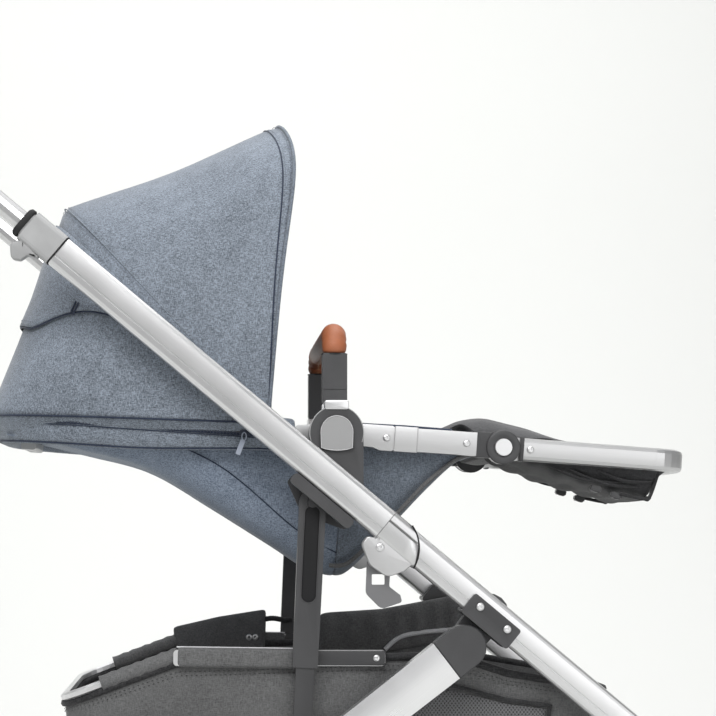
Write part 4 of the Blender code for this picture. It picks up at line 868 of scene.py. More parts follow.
BACK_LENGTH = 0.3920
TUBE_PLANE = 0.1630
TUBE_CORNER = 0.1000
TUBE_RADIUS = 0.0125
SEAT_DEPTH = 0.1660
SEAT_FORM = [
    (-0.3700, 0.15),
    (-0.3000, 0.22),
    (-0.2200, 0.32),
    (-0.1400, 0.56),
    (-0.0600, 0.82),
    (-0.0180, 0.96),
    (0.0130, 1.00),
    (0.0360, 0.93),
    (0.0860, 0.57),
    (0.1440, 0.16),
    (0.1680, 0.09),
]


def seat_profile(steps):
    """The seat cloth's depth along the seat, as pairs of distance and depth."""
    depths = [(distance, SEAT_DEPTH * share) for distance, share in SEAT_FORM]
    return [tuple(point) for point in curve_through(depths, steps)]


def seat_point(distance, rise, y):
    """A point on the seat, at a distance forwards of its hub, a rise above it, and a Y."""
    x, z = on_seat(distance, rise)
    return Vector((x, y, z))


def back_line():
    """The line of the tube round the back of the seat, from its left end to its right end."""
    bend = []
    for i in range(15):
        turn = pi / 2 * i / 14
        distance = BACK_LENGTH - TUBE_CORNER * (1 - sin(turn))
        bend.append((distance, TUBE_PLANE - TUBE_CORNER * (1 - cos(turn))))
    left = [(blend_value(0.0465, bend[0][0], i / 24), TUBE_PLANE) for i in range(24)] + bend
    right = [(distance, -y) for distance, y in reversed(left)]
    return [seat_point(-distance, 0.0, y) for distance, y in left + right]


def inside_tube(distance):
    """How far across the hanging cloth reaches inside the round corners of its tube."""
    corner = BACK_LENGTH - TUBE_CORNER
    radius = TUBE_CORNER - TUBE_RADIUS - 0.0012
    past = min(max(-distance - corner, 0.0), radius)
    return min(0.1500, TUBE_PLANE - TUBE_CORNER + (radius**2 - past**2) ** 0.5)


def shell_section(distance, depth):
    """The hanging cloth across the seat: (across, rise), from its left edge to its right edge."""
    half = inside_tube(distance)
    corner = min(0.045, depth * 0.7)
    left = [(half, blend_value(0.002, corner - depth, i / 7)) for i in range(7)]
    for i in range(9):
        turn = pi / 2 * i / 8
        left.append((half - corner * (1 - cos(turn)), corner * (1 - sin(turn)) - depth))
    left += [((half - corner) * (1 - i / 6), -depth) for i in range(1, 6)]
    return left + [(0.0, -depth)] + [(-y, rise) for y, rise in reversed(left)]


def build_seat_band(finishes):
    """The cloth sleeve round the seat's tube, its long zip on both sides, and the two pullers."""
    line = even(back_line(), 0.008)
    up = Vector((-sin(SEAT_TILT), 0, cos(SEAT_TILT)))
    placed = []
    for i, point in enumerate(line):
        ahead = (line[min(i + 1, len(line) - 1)] - line[max(i - 1, 0)]).normalized()
        share = min(i, len(line) - 1 - i) / len(line)
        fall = blend_value(0.0235, 0.0335, ease(share, 0.0, 0.22))
        placed.append((point, ahead.cross(up).normalized(), fall))
    rows = []
    for i, (point, side, fall) in enumerate(placed):
        ripple = noise.noise(Vector((i * 0.23, 7.7, 0.0))) * 0.0008
        row = []
        for k in range(28):
            turn = 2 * pi * k / 28
            size = 0.0142 + ripple + 0.0004 * noise.noise(Vector((i * 0.31, k * 0.7, 2.0)))
            across, rise = size * cos(turn), (size + 0.0018) * sin(turn)
            if rise < 0:
                rise = -fall * abs(sin(turn)) ** 0.85
                across += 0.0035 * sin(turn) ** 2 if across < 0 else 0.0
            row.append(point + side * across + up * rise)
        rows.append(row)
    band = piece("seat_tube_sleeve", closed_form(rows), "seat", finishes["cloth"], levels=1)
    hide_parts("seat_back_frame")

    normals = [away for _, away, _ in placed]
    seam_up, seam_low, teeth_line, foot_line = [], [], [], []
    for point, away, fall in placed:
        for made, drop in ((seam_up, 0.0012), (seam_low, -0.0122), (teeth_line, -0.0055)):
            across = (1 - (drop / fall) ** 2) ** 0.5 * 0.0142
            made.append(point + away * (across + 0.0004) + up * drop)
        foot_line.append(point + away * 0.0066 - up * (fall - 0.0022))
    section = [(-0.0034, -0.0006), (-0.0030, 0.0004), (0.0030, 0.0004), (0.0034, -0.0006)]
    tape = section_along(teeth_line, normals, section)
    piece("seat_zip_tape", tape, "seat", finishes["navy"])
    edges = [[p + Vector((0, 0, lift)) for p in teeth_line] for lift in (0.0046, -0.0046)]
    piping = merge(tube(foot_line, 0.0011, 6), *(tube(edge, 0.0007, 6) for edge in edges))
    piece("seat_band_piping", piping, "seat", finishes["navy"])
    thread = merge(stitches(seam_up, normals), stitches(seam_low, normals))
    piece("seat_zip_stitching", thread, "seat", finishes["thread"])
    teeth = bmesh.new()
    spots = even(teeth_line, 0.0019)
    for i in range(1, len(spots) - 1):
        share = i / (len(spots) - 1)
        away = normals[min(round(share * (len(normals) - 1)), len(normals) - 1)]
        ahead = (spots[i + 1] - spots[i - 1]).normalized()
        rise = away.cross(ahead)
        middle = spots[i] + rise * (0.0007 if i % 2 else -0.0007) + away * 0.0009
        corners = []
        for a, b, c in BOX_CORNERS:
            spot = middle + ahead * 0.0006 * a + rise * 0.0014 * b + away * 0.0005 * c
            corners.append(teeth.verts.new(spot))
        for face in (BOX_BACK, BOX_FRONT, *BOX_SIDES):
            teeth.faces.new([corners[k] for k in face])
    piece("seat_zip_teeth", teeth, "seat", finishes["zip"])
    for side, y_side in SIDES.items():
        make_puller(side, y_side, finishes)


def make_puller(side, y_side, finishes):
    """A zip slider with the ring and the flat tag that hang from it."""
    x, z = on_seat(-0.1050, -0.0055)
    y = y_side * (TUBE_PLANE + 0.0162)
    body = block(Vector((x, y, z)), Vector((0.0120, 0.0034, 0.0085)), 0.0010)
    bridge = [(-0.0045, 0.0012), (-0.0020, 0.0034), (0.0030, 0.0034), (0.0050, 0.0012)]
    bridge = tube([Vector((x + run, y + y_side * out, z)) for run, out in bridge], 0.0007, 6)
    piece(f"zip_slider_{side}", merge(body, bridge), "seat", finishes["zip"])
    turns = [2 * pi * i / 16 for i in range(17)]
    ring = [(x - 0.001 + 0.0026 * cos(turn), z - 0.0044 + 0.0046 * sin(turn)) for turn in turns]
    ring = placed_at(y + y_side * 0.0036, ring)
    start, end = (x - 0.0020, z - 0.0085), (x - 0.0085, z - 0.0255)
    tag = plate(strip(start, end, -0.0030, 0.0030, 0.0014), y + y_side * 0.0028, y + y_side * 0.0044, 0.0005)
    piece(f"zip_tag_{side}", merge(tube(ring, 0.0007, 6, 1.0, False), tag), "seat", finishes["tag"])


def build_seat_shell(finishes):
    """The hanging cloth of the seat: a deep trough with soft creases, and its darker front."""
    rows = []
    profile = seat_profile(7)
    for i, (distance, depth) in enumerate(profile):
        row = []
        for across, rise in shell_section(distance, depth):
            share = -rise / max(depth, 1e-6)
            crease = noise.noise(Vector((distance * 16.0, rise * 9.0, 4.0 if across > 0 else 9.0)))
            drape = sin(distance * 46.0 + rise * 22.0) * 0.0012 * ease(share, 0.12, 0.5)
            inward = (abs(crease) * 0.0030 + drape + 0.0014) * ease(share, 0.05, 0.35)
            inward *= 1 - ease(share, 0.80, 0.98)
            lift = noise.noise(Vector((distance * 14.0, across * 11.0, 1.0))) * 0.0016
            lift *= ease(share, 0.9, 1.0)
            y = across - (1 if across > 0 else -1 if across < 0 else 0) * max(inward, 0.0)
            row.append(seat_point(distance, rise + max(lift, 0.0), y))
        rows.append(row)
    split = next(i for i, (distance, _) in enumerate(profile) if distance > 0.0130)
    back = piece("seat_shell_cloth", skin(rows[: split + 1]), "seat", finishes["shell"], 1, 0.0040)
    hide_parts("seat_shell")
    front = piece("seat_shell_front", skin(rows[split:]), "seat", finishes["cloth_deep"], 1, 0.0040)
    bands = []
    for i in range(6):
        x, z = blend_value(-0.3590, -0.3795, i / 5), blend_value(0.6188, 0.6222, i / 5)
        bands.append([Vector((x, -0.136 + 0.272 * k / 16, z + 0.0008 * sin(k * 0.9))) for k in range(17)])
    bridge = piece("seat_head_bridge", skin(bands), "seat", finishes["shell"], 1, 0.0020)
    edges = []
    for y_side in (-1, 1):
        line = []
        for i in range(split - 2, len(profile)):
            distance, depth = profile[i]
            half = inside_tube(distance)
            corner = min(0.045, depth * 0.7)
            line.append(seat_point(distance, -depth + corner * 0.28, y_side * (half - corner * 0.05)))
        edges.append(tube(even(line, 0.006), 0.0026, 8))
    piece("seat_front_piping", merge(*edges), "seat", finishes["charcoal"])
    strips = []
    for y_side in (-1, 1):
        line = [(d, 0.0150 - 0.012 * abs(d - 0.085)) for d in (0.030, 0.085, 0.140)]
        strips.append(tube([seat_point(d, rise, y_side * 0.1560) for d, rise in line], 0.0024, 8))
    piece("seat_side_piping", merge(*strips), "seat", finishes["navy"])

    seams = []
    for y_side in (-1, 1):
        line = []
        for i in sorted({0, split // 4, split // 2, 3 * split // 4, split}):
            share = ease(i, 0, split)
            row = [point for point in rows[i] if point.y * y_side > 0.02]
            row.sort(key=lambda point: -point.z)
            line.append(row[int((0.16 + 0.34 * share) * (len(row) - 1))] + Vector((0, y_side * 0.0004, 0)))
        seams.append(tube(even(curve_through(line, 12), 0.008), 0.0008, 6))
    piece("seat_shell_seam", merge(*seams), "seat", finishes["navy"])
    threads = []
    for y_side in (-1, 1):
        for drop in (0.020, 0.0245):
            line = []
            for distance, depth in profile:
                if depth > 0.045 and distance < 0.05:
                    rise = -drop * (1 + 0.3 * depth / SEAT_DEPTH)
                    line.append(seat_point(distance, rise, y_side * (inside_tube(distance) + 0.0004)))
            line = even(line, 0.006)
            threads.append(stitches(line, [Vector((0, y_side, 0))] * len(line)))
    piece("seat_side_stitching", merge(*threads), "seat", finishes["thread"])


PAD_ACROSS = 34
PAD_HALF = 0.1000
PAD_RIDGE = 0.46


def pad_rows():
    """Rows of the quilted pad: its top over the channels, then its flat underside."""
    floor = [point for point in seat_profile(12) if -0.360 < point[0] < 0.135]
    line = even([Vector((distance, -depth, 0)) for distance, depth in floor], 0.0052)
    runs = [0.0]
    for a, b in zip(line, line[1:]):
        runs.append(runs[-1] + (b - a).length)
    total = runs[-1]
    rows = []
    for i, point in enumerate(line):
        ahead = (line[min(i + 1, len(line) - 1)] - line[max(i - 1, 0)]).normalized()
        out = Vector((-ahead.y, ahead.x, 0))
        run = runs[i]
        channel = abs(sin(pi * run / 0.060))
        edge = min(ease(run, -0.004, 0.016), ease(total - run, -0.004, 0.016))
        half = PAD_HALF * (1 - 0.055 * (1 - channel) ** 2) * (0.93 + 0.07 * edge)
        ring = []
        for k in range(PAD_ACROSS + 1):
            share = -1 + 2 * k / PAD_ACROSS
            side = (1 - abs(share) ** 5) ** 0.5
            ridge = 1 - 0.30 * (1 - min(1.0, abs(abs(share) - PAD_RIDGE) / 0.045)) ** 2
            thick = 0.0185 * (0.34 + 0.66 * channel**0.55 * ridge) * side * edge
            thick += noise.noise(Vector((run * 30.0, share * 3.0, 5.0))) * 0.0010 * side
            base = point + out * (0.0071 + max(thick, 0.0012))
            ring.append(seat_point(base.x, base.y, half * share))
        under = []
        for k in range(PAD_ACROSS - 1, 0, -3):
            share = -1 + 2 * k / PAD_ACROSS
            base = point + out * 0.0070
            under.append(seat_point(base.x, base.y, half * share))
        rows.append(ring + under)
    return rows


PAD_ROWS = pad_rows()


def pad_top(run_share, across):
    """A point on the pad's top at a share of its length, and its outward direction."""
    i = min(max(int(run_share * (len(PAD_ROWS) - 1)), 0), len(PAD_ROWS) - 2)
    k = min(max(int((across / PAD_HALF + 1) / 2 * PAD_ACROSS), 0), PAD_ACROSS)
    here, there = PAD_ROWS[i][k], PAD_ROWS[i + 1][k]
    out = (there - here).cross(Vector((0, 1, 0))).normalized()
    if out.z < 0:
        out = -out
    return here, out


SWELL_MESH = 0.005
SWELL_PRESSURE = 4.0
SWELL_FRAMES = 20
SWELL_SHARE = 0.85


def swell(pad, most):
    """Let a pad fill out with a cloth simulation, each point by no more than a set distance."""
    model = pad.copy()
    model.data = pad.data.copy()
    model.modifiers.clear()
    bpy.context.scene.collection.objects.link(model)
    remesh = model.modifiers.new("even_mesh", "REMESH")
    remesh.mode = "VOXEL"
    remesh.voxel_size = SWELL_MESH
    start = baked(model)
    model.modifiers.clear()
    model.data = start
    kept = [vertex.co.copy() for vertex in start.vertices]
    cloth_modifier = model.modifiers.new("filling", "CLOTH")
    settings = cloth_modifier.settings
    settings.quality = 6
    settings.use_pressure = True
    settings.uniform_pressure_force = SWELL_PRESSURE
    settings.effector_weights.gravity = 0.0
    cloth_modifier.point_cache.frame_end = SWELL_FRAMES
    for step in range(1, SWELL_FRAMES + 1):
        bpy.context.scene.frame_set(step)
    end = baked(model)
    grown = bvhtree.BVHTree.FromPolygons(
        [blend_capped(kept[i], end.vertices[i].co, most) for i in range(len(kept))],
        [tuple(face.vertices) for face in end.polygons],
    )
    bpy.data.objects.remove(model)
    bpy.context.scene.frame_set(1)
    for vertex in pad.data.vertices:
        near, _, _, distance = grown.find_nearest(vertex.co)
        if near is not None and distance <= most:
            vertex.co = vertex.co.lerp(near, SWELL_SHARE)


def baked(obj):
    """The mesh of an object with its modifiers applied."""
    bpy.context.view_layer.update()
    ready = obj.evaluated_get(bpy.context.evaluated_depsgraph_get())
    return bpy.data.meshes.new_from_object(ready)


def blend_capped(start, end, most):
    """A point moved towards another by no more than a set distance."""
    move = end - start
    return start + move * min(1.0, most / max(move.length, 1e-9))


def build_seat_pad(finishes, most):
    """The quilted pad on the seat, filled out by no more than a set distance, and its piping."""
    pad = piece("seat_liner", closed_form(PAD_ROWS), "seat", finishes["pad"], levels=1, sharp=80)
    swell(pad, most)
    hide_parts("seat_pad")
    edges = []
    for k in (0, PAD_ACROSS):
        line = even([row[k] + Vector((0, 0, 0.0004)) for row in PAD_ROWS], 0.006)
        edges.append(tube(line, 0.0024, 8))
    piece("seat_liner_piping", merge(*edges), "seat", finishes["navy"])


def strap(path, normals, half, thick, name, finish):
    """A flat woven strap along a path."""
    section = [
        (-half, -thick * 0.3),
        (-half * 0.97, thick * 0.5),
        (-half * 0.6, thick * 0.62),
        (half * 0.6, thick * 0.62),
        (half * 0.97, thick * 0.5),
        (half, -thick * 0.3),
        (half * 0.9, -thick * 0.5),
        (-half * 0.9, -thick * 0.5),
    ]
    piece(name, section_along(path, normals, section), "seat", finish, sharp=40)


def on_pad(first, last, across_first, across_last, lift, count=40, slack=0.0):
    """A path laid over the pad, with its outward directions."""
    path, normals = [], []
    for i in range(count + 1):
        share = i / count
        across = blend_value(across_first, across_last, ease(share, 0.1, 0.9))
        point, out = pad_top(blend_value(first, last, share), across)
        path.append(point + out * (lift + slack * sin(pi * share)))
        normals.append(out)
    smoothed = [path[0]]
    for i in range(1, len(path) - 1):
        smoothed.append((path[i - 1] + path[i] * 2 + path[i + 1]) / 4 + normals[i] * 0.0006)
    return smoothed + [path[-1]], normals


def build_harness(finishes):
    """The five straps that meet at the buckle, with a sleeve on each shoulder strap."""
    webbing = finishes["webbing"]
    turns = [2 * pi * k / 16 for k in range(16)]
    section = [(0.0200 * cos(turn), 0.0050 * sin(turn) + 0.0010) for turn in turns]
    for side, y_side in SIDES.items():
        path, normals = on_pad(0.16, 0.70, y_side * 0.040, y_side * 0.016, 0.0030, 48, 0.003)
        strap(path, normals, 0.0120, 0.0016, f"shoulder_strap_{side}", webbing)
        sleeve, outs = on_pad(0.20, 0.42, y_side * 0.0395, y_side * 0.033, 0.0060, 30, 0.002)
        shape = section_along(sleeve, outs, section)
        cover = piece(f"shoulder_sleeve_{side}", shape, "seat", finishes["pad"], 1)
        path, normals = on_pad(0.715, 0.745, y_side * 0.092, y_side * 0.020, 0.0030, 24, 0.002)
        strap(path, normals, 0.0120, 0.0016, f"waist_strap_{side}", webbing)
    path, normals = on_pad(0.80, 0.93, 0.0, 0.0, 0.0030, 20)
    strap(path, normals, 0.0140, 0.0018, "crotch_strap", webbing)


# Leg rest, bumper bar and handlebar.

LEG_TILT = SEAT_TILT + radians(-0.4)


def on_legrest(distance, rise=0.0):
    """A point of the side view, at a distance forwards of the knee's hinge and a rise above it."""
    return along(LEGREST_HINGE, LEG_TILT, distance, rise)


def closed_row(place, half, top, under, across=26, crown=3.0):
    """One closed row of a padded form: a crowned top from side to side, and its underside."""
    row = []
    steps = [(k, top) for k in range(across + 1)] + [(k, under) for k in range(across - 1, 0, -1)]
    for k, face in steps:
        share = -1 + 2 * k / across
        full = (1 - abs(share) ** crown) ** 0.5
        row.append(place(half * share, blend_value((top + under) / 2, face, full)))
    return row


def build_knee_cover(finishes):
    """The cloth that rolls over the knee, from seat to leg rest, and the gussets beside it."""
    stations = [
        (0.1200, -0.0150),
        (0.1280, 0.0120),
        (0.1440, 0.0250),
        (0.1607, 0.0320),
        (0.1820, 0.0362),
        (0.2025, 0.0345),
        (0.2350, 0.0275),
        (0.2810, 0.0150),
        (0.3200, 0.0090),
        (0.3520, 0.0070),
    ]
    line = even([Vector((d, r, 0)) for d, r in curve_through(stations, 8)], 0.005)
    rows = []
    total = len(line) - 1
    for i, point in enumerate(line):
        ahead = (line[min(i + 1, total)] - line[max(i - 1, 0)]).normalized()
        out = Vector((-ahead.y, ahead.x, 0))
        end = min(ease(i, -1, 3), ease(total - i, -1, 3))
        fold = 0.0004 * sin(i * 0.5) * ease(i, 6, 16) * ease(total - i, 4, 14)

        def place(y, height, point=point, out=out, i=i):
            lump = noise.noise(Vector((i * 0.06, y * 12.0, 3.0))) * 0.0014
            pleat = 0.0009 * sin(y * 210.0 + i * 0.12) * ease(abs(y), 0.07, 0.12)
            pleat *= ease(0.134 - abs(y), 0.0, 0.02)
            spot = point + out * (height + lump + pleat)
            x, z = on_seat(spot.x, spot.y)
            return Vector((x, y, z))

        deep = 0.0085 + 0.042 * ease(point.x, 0.148, 0.176) * ease(0.268 - point.x, 0.0, 0.060)
        rows.append(closed_row(place, 0.1362, fold, fold - deep * (0.35 + 0.65 * end), 36, 6.0))
    cover = piece("knee_cover", closed_form(rows), None, finishes["lining"], levels=1)
    hinge = Vector((LEGREST_HINGE[0], 0, LEGREST_HINGE[1]))
    end = hinge + Vector((0.040, 0, -0.003))
    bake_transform(cover)
    for side, y_side in SIDES.items():
        rows = []
        for i in range(13):
            distance = 0.0950 + 0.0800 * i / 12
            row = []
            for k in range(7):
                across = 0.1190 + 0.0358 * k / 6
                rise = 0.0060 - 0.0100 * (k / 6) ** 2 + 0.0012 * sin(i * 0.9 + k)
                x, z = on_seat(distance, rise)
                row.append(Vector((x, y_side * across, z)))
            rows.append(row)
        patch = piece(f"knee_gusset_{side}", skin(rows), "seat", finishes["lining"], 1, 0.0020)


def build_legrest_panel(finishes):
    """The leg rest's padded panel: a firm top, a slung underside with pleats, and a toe lip."""
    low = [(0.024, -0.0105), (0.0731, -0.0271), (0.1114, -0.0344), (0.150, -0.0445), (0.181, -0.0498)]
    low += [(0.189, -0.0468), (0.1975, -0.0205), (0.2080, -0.0130)]
    high = [(0.024, 0.0120), (0.060, 0.0110), (0.104, 0.0095), (0.150, 0.0080), (0.181, 0.0040)]
    high += [(0.189, 0.0000), (0.1975, -0.0040), (0.2080, -0.0080)]
    rows = []
    for i in range(43):
        distance = blend_value(0.024, 0.2080, i / 42)
        top, under = value_at(high, distance), value_at(low, distance)
        end = min(ease(i, -1.5, 3.0), ease(42 - i, -1.0, 0.9))
        middle = (top + under) / 2

        def place(y, height, distance=distance, i=i, top=top, under=under):
            deep = ease(top - height, 0.0, max(top - under, 1e-6))
            pleat = 0.0022 * sin(distance * 190.0 + abs(y) * 26.0) * deep * ease(0.19 - distance, 0.0, 0.05)
            lump = noise.noise(Vector((distance * 30.0, y * 14.0, deep * 2.0))) * 0.0018
            x, z = on_legrest(distance, height + pleat + lump)
            return Vector((x, y, z))

        half = 0.1366 - 0.006 * (1 - end)
        rows.append(
            closed_row(
                place,
                half,
                blend_value(middle, top, end),
                blend_value(middle, under, end),
                40,
                7.0,
            )
        )
    panel = piece("legrest_sling", closed_form(rows), "legrest", finishes["sling"], levels=1)
    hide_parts("legrest_panel")
    lip = []
    for distance, rise in ((0.1500, -0.0435), (0.1780, -0.0470), (0.1860, -0.0450), (0.1945, -0.0160)):
        lip.append(on_legrest(distance, rise))
    bar = []
    for y_side in (-1, 1):
        bar.append(tube(placed_at(y_side * 0.1340, curve_through(lip, 5)), 0.0022, 8))
    x, z = on_legrest(0.1860, -0.0455)
    cross = [Vector((x, -0.134, z)), Vector((x, 0.0, z - 0.001)), Vector((x, 0.134, z))]
    bar.append(tube(curve_through(cross, 8), 0.0024, 8))
    piece("legrest_edge_binding", merge(*bar), "legrest", finishes["webbing"])
    for side, y_side in SIDES.items():
        disc = circle(on_legrest(0.0), 0.0218, 28)
        inner = plate(disc, y_side * 0.1340, y_side * 0.1378, 0.0008)
        piece(f"knee_inner_disc_{side}", inner, "legrest", finishes["dark"])
    folds = []
    ends = [((0.060, -0.017), (0.150, -0.0300)), ((0.085, -0.018), (0.172, -0.0340))]
    ends.append(((0.120, -0.017), (0.188, -0.0260)))
    for y_side in (-1, 1):
        for start, end in ends:
            middle = ((start[0] + end[0]) / 2, (start[1] + end[1]) / 2 - 0.006)
            line = curve_through([(*start, 0), (*middle, 0), (*end, 0)], 10)
            path = placed_at(y_side * 0.1352, [on_legrest(point.x, point.y) for point in line])
            folds.append(tube(path, lambda t: 0.0004 + 0.0022 * sin(pi * t), 8, 0.8))
    piece("legrest_side_folds", merge(*folds), "legrest", finishes["sling"])
    clips = []
    turn = Matrix.Rotation(-LEG_TILT + 0.16, 3, "Y")
    for y in (-0.126, 0.126):
        for distance in (0.121, 0.146):
            x, z = on_legrest(distance, value_at(low, distance) - 0.0020)
            clips.append(block(Vector((x, y, z)), Vector((0.0135, 0.0150, 0.0075)), 0.0014, turn))
            tongue = Vector((x + 0.001, y, z - 0.0036))
            clips.append(block(tongue, Vector((0.0070, 0.0100, 0.0020)), 0.0006, turn))
    piece("legrest_clips", merge(*clips), "legrest", finishes["dark"])
    seam = []
    for distance in (0.052, 0.112):
        line = []
        for i in range(41):
            y = blend_value(-0.128, 0.128, i / 40)
            x, z = on_legrest(distance, value_at(high, distance) + 0.0012)
            line.append(Vector((x, y, z)))
        seam.append(stitches(line, [Vector((0, 0, 1))] * len(line)))
    piece("legrest_stitching", merge(*seam), "legrest", finishes["thread_dark"])


def u_line(start, reach, half, corner, place, steps, spacing):
    """A line round three sides of an oblong with round corners, from its left end to its right."""
    turns = [pi / 2 * i / steps for i in range(steps + 1)]
    bend = [(reach - corner * (1 - sin(t)), half - corner * (1 - cos(t))) for t in turns]
    left = [(start, half)] + bend
    right = [(distance, -y) for distance, y in reversed(left)]
    line = []
    for distance, y in left + right:
        x, z = place(distance)
        line.append(Vector((x, y, z)))
    return even(line, spacing)


GRIP_SIDES = 22


def wrapped_grip(line, normal, wide, high, round_ends):
    """Leather drawn over a bar: slightly swollen, creased at its bends, rounded at its ends."""
    side = Vector(normal).normalized()
    total = sum((b - a).length for a, b in zip(line, line[1:]))
    rows = []
    run = 0.0
    bends = []
    for i, point in enumerate(line):
        before = line[max(i - 2, 0)]
        after = line[min(i + 2, len(line) - 1)]
        first, second = point - before, after - point
        bends.append(first.angle(second) if min(first.length, second.length) > 1e-6 else 0.0)
    for i, point in enumerate(line):
        if i:
            run += (point - line[i - 1]).length
        ahead = (line[min(i + 1, len(line) - 1)] - line[max(i - 1, 0)]).normalized()
        up = ahead.cross(side).normalized()
        end = min(run, total - run)
        share = 1.0 if end > round_ends else 0.86 + 0.14 * (1 - (1 - end / round_ends) ** 2) ** 0.5
        crease = 0.00045 * sin(run * 2600.0 * 0.55) * ease(bends[i], 0.06, 0.25)
        row = []
        for k in range(GRIP_SIDES):
            turn = 2 * pi * k / GRIP_SIDES
            lump = 0.00035 * noise.noise(Vector((run * 42.0, k * 0.6, 1.5)))
            across = side * (wide * share + crease + lump) * cos(turn)
            row.append(point + across + up * (high * share + crease + lump) * sin(turn))
        rows.append(row)
    return closed_form(rows), rows


def build_bumper_grip(finishes):
    """The bumper bar's leather, with its seam and the two trim rings at its feet."""
    middle = (0.1560 + 0.1820) / 2
    foot = 0.6560

    def place(height):
        return (SEAT_HUB[0], foot + height)

    line = u_line(0.0604, 0.0840, middle, 0.0220, place, 14, 0.0030)
    shape, rows = wrapped_grip(line, (1, 0, 0), 0.0143, 0.0134, 0.006)
    grip = piece("bumper_leather", shape, "bumper_bar", finishes["leather"], sharp=70)
    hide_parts("bumper_grip")
    low = min(range(GRIP_SIDES), key=lambda k: rows[len(rows) // 2][k].z)
    inner = [row[low] for row in rows]
    outs = [(row[low] - sum(row, Vector()) / len(row)).normalized() for row in rows]
    lines = []
    for shift in (-0.0016, 0.0016):
        path = [point + Vector((shift, 0, 0)) for point in inner]
        lines.append(stitches(path, outs))
    lines.append(tube(even([p - o * 0.0003 for p, o in zip(inner, outs)], 0.006), 0.0006, 6))
    piece("bumper_stitching", merge(*lines), "bumper_bar", finishes["thread_tan"])
    rings = []
    for y_side in (-1, 1):
        path = []
        for i in range(33):
            turn = 2 * pi * i / 32
            y = y_side * middle + 0.0121 * sin(turn)
            path.append(Vector((SEAT_HUB[0] + 0.0148 * cos(turn), y, foot + 0.0592)))
        rings.append(tube(path, 0.0008, 6, 1.0, False))
    piece("bumper_trim_rings", merge(*rings), "bumper_bar", finishes["inset"])


def handle_point(distance, y):
    """A point on the handle's middle plane, at a distance up from the collar's end."""
    x, z = along(COLLAR_END, FRAME_ANGLE, -distance)
    return Vector((x, y, z))


def build_handle_grip(finishes):
    """The leather round the handlebar between its bends, and its two rows of stitches."""
    half, reach, corner = TUBE_MIDDLE, 0.2400, 0.0700

    def place(distance):
        return along(COLLAR_END, FRAME_ANGLE, -distance)

    whole = u_line(-0.1600, reach, half, corner, place, 24, 0.004)
    turn = pi / 2 * 2 / 6
    start = reach - corner * (1 - sin(turn)) - 0.0006
    first = half - corner * (1 - cos(turn)) + 0.0006
    line = [p for p in whole if abs(p.y) <= first and (p - handle_point(0, p.y)).length >= start]
    normal = Vector((-sin(FRAME_ANGLE), 0, cos(FRAME_ANGLE)))
    shape, rows = wrapped_grip(line, normal, 0.0168, 0.0148, 0.008)
    grip = piece("handlebar_leather", shape, "handlebar", finishes["leather"], sharp=70)
    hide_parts("handlebar_grip")
    centre = [sum(row, Vector()) / len(row) for row in rows]
    inward = [(handle_point(0.10, 0) - c) for c in centre]
    lines = []
    for angle in (-0.14, 0.14):
        path, outs = [], []
        for row, c, towards in zip(rows, centre, inward):
            flat = (towards - normal * towards.dot(normal)).normalized()
            best = max(row, key=lambda point: (point - c).normalized().dot(flat))
            path.append(best + normal * angle * 0.0168)
            outs.append((best - c).normalized())
        lines.append(stitches(path, outs))
    piece("handlebar_stitching", merge(*lines), "handlebar", finishes["thread_tan"])


# The basket.

BASKET_BACK = -0.2990 + SHIFT
BASKET_FRONT = 0.3350 + SHIFT
BASKET_FLOOR = 0.1650
BASKET_MIDDLE = (BASKET_BACK + BASKET_FRONT) / 2
BASKET_LENGTH = 0.3170
BASKET_HALF = 0.1880
RIM = [
    (-0.2990 + SHIFT, 0.3080),
    (-0.1690 + SHIFT, 0.3570),
    (0.0300 + SHIFT, 0.3640),
    (0.1500 + SHIFT, 0.3660),
    (0.2150 + SHIFT, 0.3440),
    (0.3350 + SHIFT, 0.3220),
]


def basket_corner(share, corner=0.052):
    """A point of a rounded oblong, each way from -1 to 1, and the way out from it."""
    long_side, short_side = BASKET_LENGTH, BASKET_HALF
    straight_x, straight_y = 2 * (long_side - corner), 2 * (short_side - corner)
    bend = pi / 2 * corner
    total = 2 * (straight_x + straight_y) + 4 * bend
    run = share * total
    x, y, heading = long_side, -short_side + corner, pi / 2
    for straight in (straight_y, straight_x, straight_y, straight_x):
        if run <= straight:
            return (x + cos(heading) * run, y + sin(heading) * run, heading - pi / 2)
        x, y = x + cos(heading) * straight, y + sin(heading) * straight
        run -= straight
        centre = (x - sin(heading) * corner, y + cos(heading) * corner)
        if run <= bend:
            out = heading - pi / 2 + run / corner
            return (centre[0] + cos(out) * corner, centre[1] + sin(out) * corner, out)
        out = heading
        x, y = centre[0] + cos(out) * corner, centre[1] + sin(out) * corner
        heading += pi / 2
        run -= bend
    return (x, y, heading - pi / 2)


def basket_point(share, drop, lift=0.0):
    """A point of the tub: a share of the way round it, and a share of the way down its wall."""
    x, y, out = basket_corner(share)
    rim = value_at(RIM, BASKET_MIDDLE + x)
    end_pull = 0.037 if x < 0 else 0.045
    x *= 1 - end_pull / BASKET_LENGTH * drop**1.4
    y *= 1 - 0.050 * drop**1.6
    rim -= 0.006 * ease(abs(sin(out)), 0.0, 0.2) * sin(pi * min(max((x + 0.25) / 0.5, 0), 1)) * 0.4
    z = blend_value(rim, BASKET_FLOOR + 0.016, drop)
    bulge = 0.0022 * sin(pi * drop)
    folds = noise.noise(Vector((share * 52.0, drop * 2.6, 0.0))) * 0.0034 * ease(drop, 0.02, 0.3)
    folds += noise.noise(Vector((share * 17.0, drop * 5.0, 6.0))) * 0.0030 * ease(drop, 0.02, 0.3)
    away = bulge + min(folds, 0.0014) + lift
    return Vector((BASKET_MIDDLE + x + cos(out) * away, y + sin(out) * away, z))


